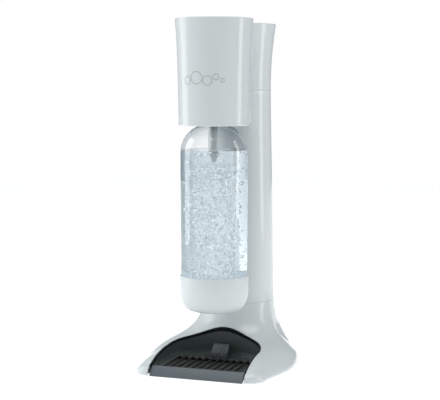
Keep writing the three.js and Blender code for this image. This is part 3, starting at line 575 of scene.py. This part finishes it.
# %% Bridge
bridge_half = radius_of("bridge_housing")
bridge_foot, bridge_top = foot_and_top("bridge_housing")
soft_below, soft_above = 2, 5
section = rounded([(-bridge_half, bridge_foot, soft_below), (bridge_half, bridge_foot, soft_below),
                   (bridge_half, bridge_top, soft_above), (-bridge_half, bridge_top, soft_above)], 8)
spacing = 3
ring = []
for index, point in enumerate(section):
    after = section[(index + 1) % len(section)]
    pieces_across = max(1, round((after - point).length / spacing))
    ring += [point.lerp(after, step / pieces_across) for step in range(pieces_across)]
head_clearance, tower_clearance = 1.6, 0.3
rows = []
for share in levels(0, 1, 8):
    row = []
    for across, up in ring:
        near_end = bottle_y / mm + math.sqrt((head_radius(up) + head_clearance) ** 2 - across ** 2)
        far_end = tower_y / mm - math.sqrt((tower_radius(up) + tower_clearance) ** 2 - across ** 2)
        row.append((across, near_end + (far_end - near_end) * share, up))
    rows.append(row)
bridge = sheet(rows, closed=True)
finished("bridge_skin", bridge, "frame", ["bridge_housing"], gloss_white,
         wall=2.2, edge=0.5)

# %% [markdown]
# The base in plan: a straight front between two rounded toes, sides that widen towards the tower, and
# a round heel. The recess in front is a U with a rounded back. Both outlines are Bezier curves, cut
# into even steps.

# %% Base outlines
base_low, base_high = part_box("base_shell")
half_width, front, heel = base_high.x / mm, base_low.y / mm, base_high.y / mm
axis_front, axis_back = bottle_y / mm, tower_y / mm
base_top = base_high.z / mm


def bezier_path(start, *curves, resolution=24):
    """Points along joined Bezier curves; each curve is (handle, handle, end)."""
    path = [Vector(start)]
    for handle_out, handle_in, end in curves:
        path += [Vector(point) for point in geometry.interpolate_bezier(
            path[-1].to_3d(), Vector(handle_out).to_3d(), Vector(handle_in).to_3d(),
            Vector(end).to_3d(), resolution)][1:]
    return [Vector(point[:2]) for point in path]


def even(path, count):
    """The same path in count + 1 evenly spaced points."""
    lengths = [0.0]
    for before, after in zip(path, path[1:]):
        lengths.append(lengths[-1] + (after - before).length)
    result, index = [], 0
    for step in range(count + 1):
        target = lengths[-1] * step / count
        while index < len(path) - 2 and lengths[index + 1] < target:
            index += 1
        span = lengths[index + 1] - lengths[index]
        result.append(path[index].lerp(path[index + 1], (target - lengths[index]) / span))
    return result


def mirrored(path):
    """A path on the right side, run on backwards down the left side."""
    return path + [Vector((-point.x, point.y)) for point in reversed(path[:-1])]


toe_x, toe_y, widest_y = 84.5, axis_front - 43, axis_front + 24
right_side = bezier_path(
    (0, front), ((18, front), (38, front), (55, front)),
    ((74, front), (toe_x - 1, toe_y - 24), (toe_x, toe_y)),
    ((toe_x + 3.6, toe_y + 19), (half_width, widest_y - 28), (half_width, widest_y)),
    ((half_width, widest_y + 61), (half_width * 0.72, heel), (0, heel)))
columns = 240
outline = even(mirrored(right_side), columns)[:-1]


def inset_outline(reach):
    result = []
    for index, point in enumerate(outline):
        along = (outline[(index + 1) % columns] - outline[index - 1]).normalized()
        result.append(point + Vector((-along.y, along.x)) * reach)
    return result


recess_half, recess_back = 62.5, 42
straight_end = axis_front - 12


def back_curve(reach, back):
    return (reach, straight_end + 31), (reach * 0.7, back), (0, back)


def recess_path(inset, front_y, count=80):
    """The recess's U from the right front end round the back to the left front end."""
    reach, back = recess_half - inset, axis_front + recess_back - inset
    side = bezier_path((reach, front_y), ((reach, front_y + 8), (reach, straight_end - 8),
                                          (reach, straight_end)), back_curve(reach, back))
    return even(mirrored(side), count)


print("base", round(2 * half_width, 1), "wide,", round(heel - front, 1), "deep")

# %% [markdown]
# The base's surface starts as the foot of the column, flares out in a smooth curve, steeply at the
# sides and long and low towards the front, and ends in a rounded edge all the way round.

# %% Base surface
edge_height, shoulder_height = 10, 32
edge_steps = [(4.5, edge_height), (3.0, 8.7), (1.6, 6.4), (0.6, 4.4), (0.05, 2.6), (0.2, 1.5), (1.0, 0.8)]
foot_radius = 46.8
heel_straight, straight_loss, foot_curve = 0.75, 0.31, 8.3
front_reach, front_curve = 60, 3.9


def eased(value, low, high):
    share = min(1, max(0, (value - low) / (high - low)))
    return share * share * (3 - 2 * share)


def slope_height(foot, rim_point, place):
    """Height over place, on a line from the column's foot to the rounded edge."""
    span = (rim_point - foot).length
    reach = (place - foot).length
    forward = (foot.y - rim_point.y) / span
    share = min(1, reach / span)
    straight = heel_straight - straight_loss * eased(forward, -0.5, 0.1)
    turn = (1 - straight) * (1 - share) ** foot_curve
    flank = edge_height + (base_top - edge_height) * (straight * (1 - share) + turn)
    slope = edge_height + (shoulder_height - edge_height) * (1 - share ** 3)
    long = slope + (base_top - shoulder_height) * max(0, 1 - reach / front_reach) ** front_curve
    return flank + (long - flank) * eased(forward, 0.1, 0.75)


centre = Vector((0, axis_back))
rim_line = inset_outline(edge_steps[0][0])
foot_line = [centre + (point - centre).normalized() * foot_radius for point in rim_line]


def surface_height(point):
    """Height of the base's surface over a point of the plan, in millimetres."""
    away = (point - centre).normalized()
    best = max(rim_line, key=lambda rim: (rim - centre).normalized().dot(away))
    return slope_height(centre + away * foot_radius, best, point)


rows = []
row_count = 64
for step in range(row_count + 1):
    row = []
    for foot, rim_point in zip(foot_line, rim_line):
        place = foot.lerp(rim_point, (step / row_count) ** 1.5)
        row.append((place.x, place.y, slope_height(foot, rim_point, place)))
    rows.append(row)
for reach, height in edge_steps[1:]:
    rows.append([(point.x, point.y, height) for point in inset_outline(reach)])
base = sheet(rows, closed=True)
print(len(base.faces), "faces before the recess is cut")

# %% [markdown]
# The recess is cut along the U in short straight slices, each taking only the faces beside it. What
# lies inside the U is deleted, and the wall and the rounded white lip come from modifiers.

# %% Cut the recess
recess = [point * mm for point in recess_path(0, front - 20)]
slack = 0.5 * mm
for start, end in zip(recess, recess[1:]):
    along = (end - start).normalized()
    outward = Vector((along.y, -along.x))
    length = (end - start).length
    beside = []
    for face in base.faces:
        offsets = [Vector(v.co[:2]) - start for v in face.verts]
        runs = [offset.dot(along) for offset in offsets]
        sides = [offset.dot(outward) for offset in offsets]
        if max(runs) > -slack and min(runs) < length + slack and min(sides) < 0 < max(sides):
            beside.append(face)
    if beside:
        items = set(beside) | {e for f in beside for e in f.edges} | {v for f in beside for v in f.verts}
        bmesh.ops.bisect_plane(base, geom=list(items), dist=1e-7, plane_co=(start.x, start.y, 0),
                               plane_no=(outward.x, outward.y, 0))


def in_recess(place):
    point = Vector((place.x, place.y))
    if point.y > recess[len(recess) // 2].y or abs(point.x) > recess[0].x:
        return False
    return all((point - start).dot(Vector(((end - start).y, -(end - start).x))) < 0
               for start, end in zip(recess, recess[1:]))


inside = [f for f in base.faces if in_recess(f.calc_center_median())]
bmesh.ops.delete(base, geom=inside, context="FACES")
finished("base_skin", base, "frame", ["base_shell"], gloss_white,
         wall=2.4, edge=0.9, turn=50)

# %% [markdown]
# The dark liner follows the same U a little further in. It rises almost to the white edge and curves
# into the floor. A narrow black trim runs along its top, with a thin white bead outside it.

# %% Recess liner
liner_wall = 1.6
liner_foot, _ = foot_and_top("recess_liner")
floor_z = liner_foot + liner_wall
liner_front = front + 9
below_surface = 0.9
liner_inset, fillet = 2.1, 9
above_table = 0.4


def swept_wall(path_of, sections, close_floor=False):
    """Rings along the U: path_of(inset) gives the plan, sections are (inset, height function)."""
    bm = sheet([[(p.x, p.y, height_of(p)) for p in path_of(inset)] for inset, height_of in sections])
    if close_floor:
        depth = max(v.co.z for v in bm.verts)
        ends = {(round(p.x, 3), round(p.y, 3)) for p in path_of(sections[-1][0])}
        loop = [e for e in bm.edges if e.is_boundary and all(
            (round(v.co.x / mm, 3), round(v.co.y / mm, 3)) in ends and v.co.z < depth for v in e.verts)]
        bmesh.ops.contextual_create(bm, geom=loop)
    return bm


def liner_top(point):
    return min(surface_height(point), base_top) - below_surface


def wall_height(share):
    def height(point):
        top = liner_top(point)
        if top > floor_z + fillet:
            return top + (floor_z + fillet - top) * share
        return floor_z + (top - floor_z) * (1 - share * 0.2)
    return height


def fillet_height(angle):
    def height(point):
        rise = min(fillet, 0.8 * (liner_top(point) - floor_z))
        return floor_z + rise * (1 - math.sin(angle))
    return height


def along_top(steps):
    """A strip that follows the liner's top, from (inset, rise) steps."""
    rows = [(inset, lambda p, rise=rise: max(above_table, liner_top(p) + rise)) for inset, rise in steps]
    return swept_wall(lambda inset: recess_path(inset, liner_front, 120), rows)


sections = [(liner_inset, liner_top), (liner_inset, lambda p: liner_top(p) - 2)]
sections += [(liner_inset, wall_height(share)) for share in (0.3, 0.6, 0.85)]
for angle in levels(0, math.pi / 2, 7):
    sections.append((liner_inset + fillet * (1 - math.cos(angle)), fillet_height(angle)))
liner = swept_wall(lambda inset: recess_path(inset, liner_front), sections, close_floor=True)
finished("liner_skin", liner, "frame", ["recess_liner"], dark_plastic,
         wall=-liner_wall, edge=0.3, turn=60)

trim = along_top(((0.1, -1.2), (0.1, 0.5), (0.7, 0.95), (1.7, 0.7), (2.6, -0.2), (2.7, -1.9)))
finished("liner_trim", trim, "frame", [], trim_black, wall=0.4)

bead = along_top(((0.1, 0.3), (0.0, 1.15), (-0.5, 1.5), (-1.2, 1.3), (-1.6, 0.7)))
finished("recess_bead", bead, "frame", [], gloss_white, wall=0.5)

# %% [markdown]
# The drip tray has rounded walls and floor. Its satin grey front lip leans back a little, and the
# ribbed tab at the back is for pulling it out.

# %% Tray, lip and tab
tray_foot, tray_rim = foot_and_top("drip_tray")
tray_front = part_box("drip_tray")[0].y / mm
tray_half, tray_back = 59.6, 39.1
tray_floor, tray_fillet = 1.6, 3


def tray_path(inset):
    reach, back = tray_half - inset, axis_front + tray_back - inset
    begin = tray_front + inset
    side = bezier_path((0, begin), ((reach / 3, begin), (reach - 10, begin), (reach - 4, begin)),
                       ((reach - 1, begin), (reach, begin + 1), (reach, begin + 4)),
                       ((reach, begin + 14), (reach, straight_end - 8), (reach, straight_end)),
                       back_curve(reach, back))
    return even(mirrored(side), 120)


tray_rows = [(0.6, tray_foot), (0, tray_foot + 0.8), (0, tray_rim - 0.8), (0.5, tray_rim),
             (1.3, tray_rim), (1.8, tray_rim - 0.8)]
for angle in levels(0, math.pi / 2, 5):
    tray_rows.append((1.8 + tray_fillet * (1 - math.cos(angle)),
                      tray_foot + tray_floor + tray_fillet * (1 - math.sin(angle))))
tray = swept_wall(tray_path, [(inset, lambda p, z=z: z) for inset, z in tray_rows], close_floor=True)
bmesh.ops.remove_doubles(tray, verts=tray.verts, dist=1e-6)
bmesh.ops.holes_fill(tray, edges=[e for e in tray.edges if e.is_boundary])
finished("tray_skin", tray, "tray", ["drip_tray"], dark_plastic)


def extruded(outline_yz, half):
    """A bar along X from a side outline of (y, z) points."""
    bm = bmesh.new()
    face = bm.faces.new([bm.verts.new((-half * mm, y * mm, z * mm)) for y, z in outline_yz])
    grown = bmesh.ops.extrude_face_region(bm, geom=[face])
    moved = [item for item in grown["geom"] if isinstance(item, bmesh.types.BMVert)]
    bmesh.ops.translate(bm, verts=moved, vec=(2 * half * mm, 0, 0))
    return bm


lip_foot, lip_head = foot_and_top("tray_front")
lip_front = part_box("tray_front")[0].y / mm
lip_thick, lip_lean, lip_back = 2.6, 11, 13.6
side_outline = rounded([(lip_front, lip_foot, 0.6), (lip_front + lip_thick, lip_foot, 0.6),
                        (lip_front + lip_back, tray_foot, 1), (lip_front + lip_back, lip_head, 1),
                        (lip_front + lip_lean, lip_head, 1.1)])
finished("lip_skin", extruded(side_outline, radius_of("tray_front")), "tray", ["tray_front"],
         grey_satin, edge=0.35, turn=60)

tab_foot, tab_top = foot_and_top("tray_tab")
tab_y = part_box("tray_tab")[0].y / mm
core_half, rib_half, rib_pitch, ribs = 10.3, 1.15, 4.65, 5
core = extruded(rounded([(tab_y + 1.2, tab_foot, 0.3), (tab_y + 16, tab_foot, 0.3),
                         (tab_y + 16, tab_top - 1, 1), (tab_y + 10, tab_top - 1.2, 2),
                         (tab_y + 1.2, tab_top - 10, 2)]), core_half)
rib = rounded([(tab_y, tab_foot + 1, 0.8), (tab_y + 14, tab_foot + 1, 0.8), (tab_y + 14, tab_top, 1.5),
               (tab_y + 10, tab_top, 3), (tab_y, tab_top - 9, 3)])
for index in range(ribs):
    one = extruded(rib, rib_half)
    bmesh.ops.translate(one, verts=one.verts, vec=((index - ribs // 2) * rib_pitch * mm, 0, 0))
    join(core, one)
finished("tab_skin", core, "tray", ["tray_tab"], tab_plastic, edge=0.35, turn=50)

# %% [markdown]
# The grille: slim slats with rounded tops that run from front to back, on two cross bars.

# %% Grille
grille_low, grille_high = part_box("drip_grille")
grille_front, grille_back = grille_low.y / mm, grille_high.y / mm
grille_half, grille_foot, grille_top = grille_high.x / mm, grille_low.z / mm, grille_high.z / mm
slats, slat_half, slat_depth = 11, 1.1, 3.2
bar_width, bar_drop = 2.6, 1.6


def bar(bm, x0, x1, y0, y1, z0, z1, soft):
    made = bmesh.ops.create_cube(bm, size=1)["verts"]
    for vert in made:
        vert.co = ((x0 if vert.co.x < 0 else x1) * mm, (y0 if vert.co.y < 0 else y1) * mm,
                   (z0 if vert.co.z < 0 else z1) * mm)
    edges = {e for v in made for e in v.link_edges}
    bmesh.ops.bevel(bm, geom=list(edges) + made, offset=soft * mm, segments=3, profile=0.5,
                    affect="EDGES", material=-1)


grille = bmesh.new()
pitch = (2 * grille_half - 4 * slat_half) / (slats - 1)
for index in range(slats):
    x = (index - slats // 2) * pitch
    bar(grille, x - slat_half, x + slat_half, grille_front, grille_back,
        grille_top - slat_depth, grille_top, 1.0)
for y in (grille_front + 0.2, grille_back - 0.2 - bar_width):
    bar(grille, -grille_half, grille_half, y, y + bar_width, grille_foot, grille_top - bar_drop, 0.8)
finished("grille_skin", grille, "grille", ["drip_grille"], brown_black)

# %% [markdown]
# The bottle is one thin wall from the rounded foot over the shoulder to the neck flange and mouth.
# The water fills it to just below the shoulder, with a raised edge where it meets the wall. The white
# cup holds the bottle's foot, and a glowing sheet between them paints light on the water's lower end.

# %% Bottle, water and cup
bottle_foot, mouth = foot_and_top("bottle")
bottle_radius, foot_end = 42, 102
dome_x, dome_z, dome_radius = 6, 272.5, 36
neck_radius, mouth_radius = 18, 15.8
round_segments = 144


def rounded_foot(flat, radius, bottom, count=14):
    """The curve from a flat foot up to the straight side, which it reaches at foot_end."""
    outline = []
    for share in levels(0, 1, count):
        lift = 1 - math.cos(share * math.pi / 2)
        reach = (1 - (1 - lift) ** 2.2) ** (1 / 2.2)
        outline.append((flat + (radius - flat) * reach, bottom + (foot_end - bottom) * lift))
    return outline


def dome(radius):
    last = math.acos((neck_radius - dome_x) / dome_radius)
    return [(dome_x + radius * math.cos(angle), dome_z + radius * math.sin(angle))
            for angle in levels(0, last, 24)]


skin = [(0, bottle_foot + 3), (14, bottle_foot + 1.5)] + rounded_foot(26.5, bottle_radius, bottle_foot)
skin += [(bottle_radius, z) for z in levels(110, 265, 20)] + dome(dome_radius)
skin += [(neck_radius, 318), (neck_radius, 323), (18.4, 323.8), (19, 324.2), (19, 327.2), (18.6, 327.5),
         (16.4, 327.8), (mouth_radius, 328.6), (mouth_radius, mouth - 0.3), (15.5, mouth)]
bottle = turned(skin, bottle_y, round_segments, closed=False)
finished("bottle_skin", bottle, "bottle", ["bottle"], clear_bottle, wall=0.8, turn=60)

water_top, water_inset = 276, 0.65
water_radius = bottle_radius - water_inset
filled = [(0, bottle_foot + 4)] + rounded_foot(25.9, water_radius, bottle_foot + 0.7)
filled += [(water_radius, z) for z in levels(110, 268, 20)]
filled += [(r, z) for r, z in dome(dome_radius - water_inset) if z < water_top + 1.2]
filled += [(40.2, water_top + 0.4), (38.6, water_top + 0.05)] + [(r, water_top) for r in (36, 20, 0)]
body_of_water = turned(filled, bottle_y, round_segments, closed=False)
finished("water_body", body_of_water, "bottle", [], water, turn=60)

cup_foot, cup_rim = foot_and_top("base_cup")
cup_radius, cup_wall = radius_of("base_cup"), 1.1
outside = rounded_foot(28, cup_radius, cup_foot, 20)
inside = rounded_foot(28, cup_radius - cup_wall, cup_foot + cup_wall, 20)
cup_outline = [(0, cup_foot + 1.4), (16, cup_foot + 1.4), (19, cup_foot + 0.2)] + outside
cup_outline += [(cup_radius - back, cup_rim - down) for back, down in (
    (0, 0.5), (0.2, 0.1), (0.55, 0), (0.9, 0.1), (cup_wall, 0.5))]
cup_outline += inside[::-1] + [(0, cup_foot + 2.5)]
cup = turned(cup_outline, bottle_y, round_segments, closed=False)

# Painted light: a glowing sheet just outside the bottle's foot brightens the water's lower end in the cup.
glow_sheet_gap = 0.03
glow_sheet_outline = [(radius + glow_sheet_gap, z) for radius, z in rounded_foot(26.5, bottle_radius, bottle_foot)]
glow_sheet_outline.append((bottle_radius + glow_sheet_gap, cup_rim - 0.6))
glow_sheet = turned(glow_sheet_outline, bottle_y, round_segments, closed=False)
cup_glow = Finish("cup_glow", Roughness=0.6, Emission_Strength=0.62)
cup_glow.drive(
    Base_Color=cup_glow.blend(
        cup_glow.noise(14, 2), shade(0.70, 0.78, 0.84), shade(0.76, 0.83, 0.88)),
    Emission_Color=cup_glow.blend(
        cup_glow.noise(30, 3), shade(0.60, 0.70, 0.80), shade(0.78, 0.85, 0.90)))
finished("cup_glow_sheet", glow_sheet, "bottle", [], cup_glow)
finished("cup_skin", cup, "bottle", ["base_cup"], cup_white)

# %% [markdown]
# The gas leaves the nozzle as a rising cloud. Large bubbles crowd round the middle and the top, and
# fine ones fill the column below the nozzle. Three wavy shells of froth, one inside the other, and a
# scatter of mist make the cloud dense. Seeded chance places the bubbles and the mist.

# %% Bubbles, froth and mist
chance = random.Random(11)


def add_blob(bm, place, radius, finer=False, squash=1.0):
    shape = Matrix.Translation(place) @ Matrix.Diagonal((1, 1, squash, 1))
    bmesh.ops.create_icosphere(bm, subdivisions=2 if finer else 1, radius=radius, matrix=shape)


def spot(spread, low, high, crowd):
    """A chance place within spread of the bottle's axis; a larger crowd draws it to the axis."""
    turn = chance.uniform(0, 2 * math.pi)
    reach = spread * chance.random() ** (0.5 * crowd)
    return (reach * math.cos(turn) * mm, bottle_y + reach * math.sin(turn) * mm,
            chance.uniform(low, high) * mm)


bubbles = bmesh.new()
finer_from = 0.9
for count, spread, low, high, small, large, crowd in (
        (26, 5, 238, 256, 0.9, 1.9, 1.0), (90, 27, 196, 252, 1.2, 3.2, 1.0),
        (130, 28, 110, 264, 0.9, 2.6, 0.8), (420, 33, 92, 270, 0.5, 1.2, 0.8),
        (70, 37, 270, 274.5, 0.6, 1.5, 0.8)):
    for _ in range(count):
        radius = small + (large - small) * chance.random() ** 2.2
        add_blob(bubbles, spot(spread, low, high - radius, crowd), radius * mm, radius > finer_from, 0.85)
finished("air_bubbles", bubbles, "bottle", [], air, turn=180)

wave_depth, wave_pitch = 0.14, 150
for index, reach, low, high in ((1, 22, 94, 260), (2, 15, 102, 250), (3, 8, 108, 236)):
    side = [(reach, z) for z in levels(low + 12, high - 10, 24)]
    cloud = turned([(0, low), (reach * 0.8, low + 2)] + side + [(reach * 0.7, high - 2), (0, high)],
                   bottle_y, 48, closed=False)
    for vert in cloud.verts:
        away = Vector((vert.co.x, vert.co.y - bottle_y, 0))
        wave = math.sin(index + vert.co.z * wave_pitch + 2 * math.atan2(away.y, away.x))
        vert.co += away * (wave_depth * wave)
    finished(f"froth_{index}", cloud, "bottle", [], froth, turn=180)

specks = bmesh.new()
for count, spread, low, high, crowd in ((900, 20, 110, 236, 1.5), (500, 34, 96, 262, 1.0)):
    for _ in range(count):
        add_blob(specks, spot(spread, low, high, crowd), chance.uniform(0.14, 0.34) * mm)
finished("mist_specks", specks, "bottle", [], mist, turn=180)

# %% [markdown]
# Inside the tower stands the gas cylinder with its brass valve. Under the base are rubber feet, and
# screws with a round dimple in their heads.

# %% Cylinder, valve, feet and screws
tank_foot, tank_top = foot_and_top("gas_cylinder")
tank_radius, tank_neck = 30, 12
shoulder_z, shoulder_radius = 308, 18
shoulder = [(tank_neck + shoulder_radius * math.cos(angle), shoulder_z + shoulder_radius * math.sin(angle))
            for angle in levels(0, math.pi / 2, 16)]
above_foot = (tank_radius, 290, 0)
tank_outline = rounded([(0.01, tank_foot + 3, 0), (20, tank_foot + 0.6, 3), (24, tank_foot, 1),
                        (27, tank_foot, 1.5), (tank_radius, tank_foot + 4, 3), above_foot])[:-1]
tank_outline += [(tank_radius, z) for z in levels(40, 306, 12)] + shoulder
tank_outline += [(tank_neck, tank_top - 0.6), (tank_neck - 0.5, tank_top), (0, tank_top)]
finished("cylinder_skin", turned(tank_outline, tower_y, 96, closed=False), "cylinder", ["gas_cylinder"],
         aluminium)

valve_foot, valve_top = foot_and_top("cylinder_valve")
crest, root, bore, thread_pitch = 10.4, 9.7, 2.6, 2
thread = [(0, valve_foot), (crest, valve_foot), (crest, valve_foot + 3)]
for step in range(8):
    z = valve_foot + 3.6 + step * thread_pitch
    thread += [(root, z), (root, z + 0.4), (crest, z + 1.0), (crest, z + 1.4)]
thread += [(crest, valve_top - 2), (8.6, valve_top), (bore, valve_top), (bore, valve_top - 8),
           (0, valve_top - 8)]
finished("valve_skin", turned(thread, tower_y, 72, closed=False), "cylinder", ["cylinder_valve"],
         brass)


def small_turned(name, corners, node, finish, segments):
    """A small turned piece on the upright axis of the CAD piece that it stands for."""
    bm = turned(rounded(corners), 0, segments, closed=False)
    place = middle(node)
    bmesh.ops.translate(bm, verts=bm.verts, vec=(place.x, place.y, 0))
    finished(name, bm, "frame", [node], finish)


for corner in ("front_left", "front_right", "rear_left", "rear_right"):
    pad = [(0, 0, 0), (5, 0, 0), (5.6, 0.35, 0.2), (6.4, 0, 0.2), (8, 0, 0.5), (8, 1.3, 0.2), (0, 1.3, 0)]
    small_turned("pad_" + corner, pad, "foot_" + corner, black_rubber, 48)
    under, top = foot_and_top("base_screw_" + corner)
    screw = [(0.01, under + 0.7, 0), (1.1, under + 0.7, 0.1), (1.7, under, 0.1), (3.6, under, 0.6),
             (3.6, under + 1.2, 0.1), (1.8, under + 1.2, 0.1), (1.8, top, 0.2), (0.01, top, 0)]
    small_turned("screw_" + corner, screw, "base_screw_" + corner, steel, 36)

# %% [markdown]
# The CAD pieces that stay as they are, mostly inside the head and tower, get the same finishes.

# %% Finishes for the carried-over pieces
by_slot = {"white_shell": gloss_white, "white_cup": cup_white, "dark_plastic": dark_plastic,
           "brown_black_plastic": brown_black, "grey_satin": grey_satin, "grey_plastic": grey_plastic,
           "clear_bottle": clear_bottle, "black_rubber": black_rubber, "steel": steel, "brass": brass,
           "aluminium": aluminium}
for part in frame["record"]["subparts"]:
    node = frame["nodes"][part["node"]]
    node.data.materials.clear()
    node.data.materials.append(by_slot[part["material_slot"]].material)
print(len(frame["nodes"]), "CAD pieces finished")

# %% [markdown]
# The light comes from a pale room that is brighter towards the left front, and from softboxes: a
# narrow one on the right and slightly behind, a wider one on the left and slightly in front, and a
# soft one above. The side ones draw the upright white stripes on the glossy shells. The camera, and
# the light that passes through the bottle, see plain white surroundings.

# %% Light and floor
aim_height = 0.24


def softbox(name, azimuth, distance, height, width, tall, power):
    data = bpy.data.lights.new(name, "AREA")
    data.shape = "RECTANGLE"
    data.size = width
    data.size_y = tall
    data.energy = power
    lamp = add_object(name, data)
    turn = math.radians(azimuth)
    lamp.location = (distance * math.sin(turn), -distance * math.cos(turn), height)
    toward = Vector((0, 0, aim_height)) - lamp.location
    lamp.rotation_euler = toward.to_track_quat("-Z", "Y").to_euler()
    lamp.visible_camera = False


softbox("softbox_right", 104, 1.1, 0.52, 0.30, 0.96, 2.8)
softbox("softbox_left", -84, 1.1, 0.44, 0.55, 1.1, 4.6)
softbox("softbox_top", -30, 0.08, 1.6, 1.4, 1.4, 17)

world = bpy.data.worlds.new("studio")
bpy.context.scene.world = world
world.use_nodes = True
room = Graph(world.node_tree)
direction = room.node("ShaderNodeTexCoord", output="Generated")
left_front = (-0.8, -0.6, 0)
toward_bright = room.node("ShaderNodeVectorMath", {"operation": "DOT_PRODUCT"},
                          {0: direction, 1: left_front}, output="Value")
bright_share = room.node("ShaderNodeMapRange", {}, {"Value": toward_bright, "From Min": -1})
walls = room.blend(bright_share, shade(0.38, 0.42, 0.43), shade(1.02, 1.08, 1.10))
lit_room = room.node("ShaderNodeBackground", {}, {"Color": walls, "Strength": 0.50})
backdrop = room.node("ShaderNodeBackground", {}, {"Color": shade(1, 1, 1), "Strength": 1.0})
camera_ray = room.node("ShaderNodeLightPath", output="Is Camera Ray")
clear_ray = room.node("ShaderNodeLightPath", output="Is Transmission Ray")
shown = room.node("ShaderNodeMixShader", {}, {
    "Fac": camera_ray.math("MAXIMUM", camera_ray, clear_ray), 1: lit_room, 2: backdrop})
room.feed(room.nodes["World Output"].inputs["Surface"], shown)
bpy.context.scene.view_settings.view_transform = "Standard"

floor_data = bpy.data.meshes.new("floor")
floor_bm = bmesh.new()
bmesh.ops.create_circle(floor_bm, cap_ends=True, segments=96, radius=3.0)
floor_bm.to_mesh(floor_data)
floor_bm.free()
floor = add_object("floor", floor_data)
floor_paper = Finish("floor_paper", Roughness=0.9, Emission_Strength=0.66)
floor_paper.drive(
    Base_Color=floor_paper.blend(
        floor_paper.noise(3, 2), shade(0.80, 0.80, 0.80), shade(0.84, 0.84, 0.84)),
    Emission_Color=shade(1, 1, 1))
floor_data.materials.append(floor_paper.material)
print(len(bpy.data.lights), "softboxes and a floor")
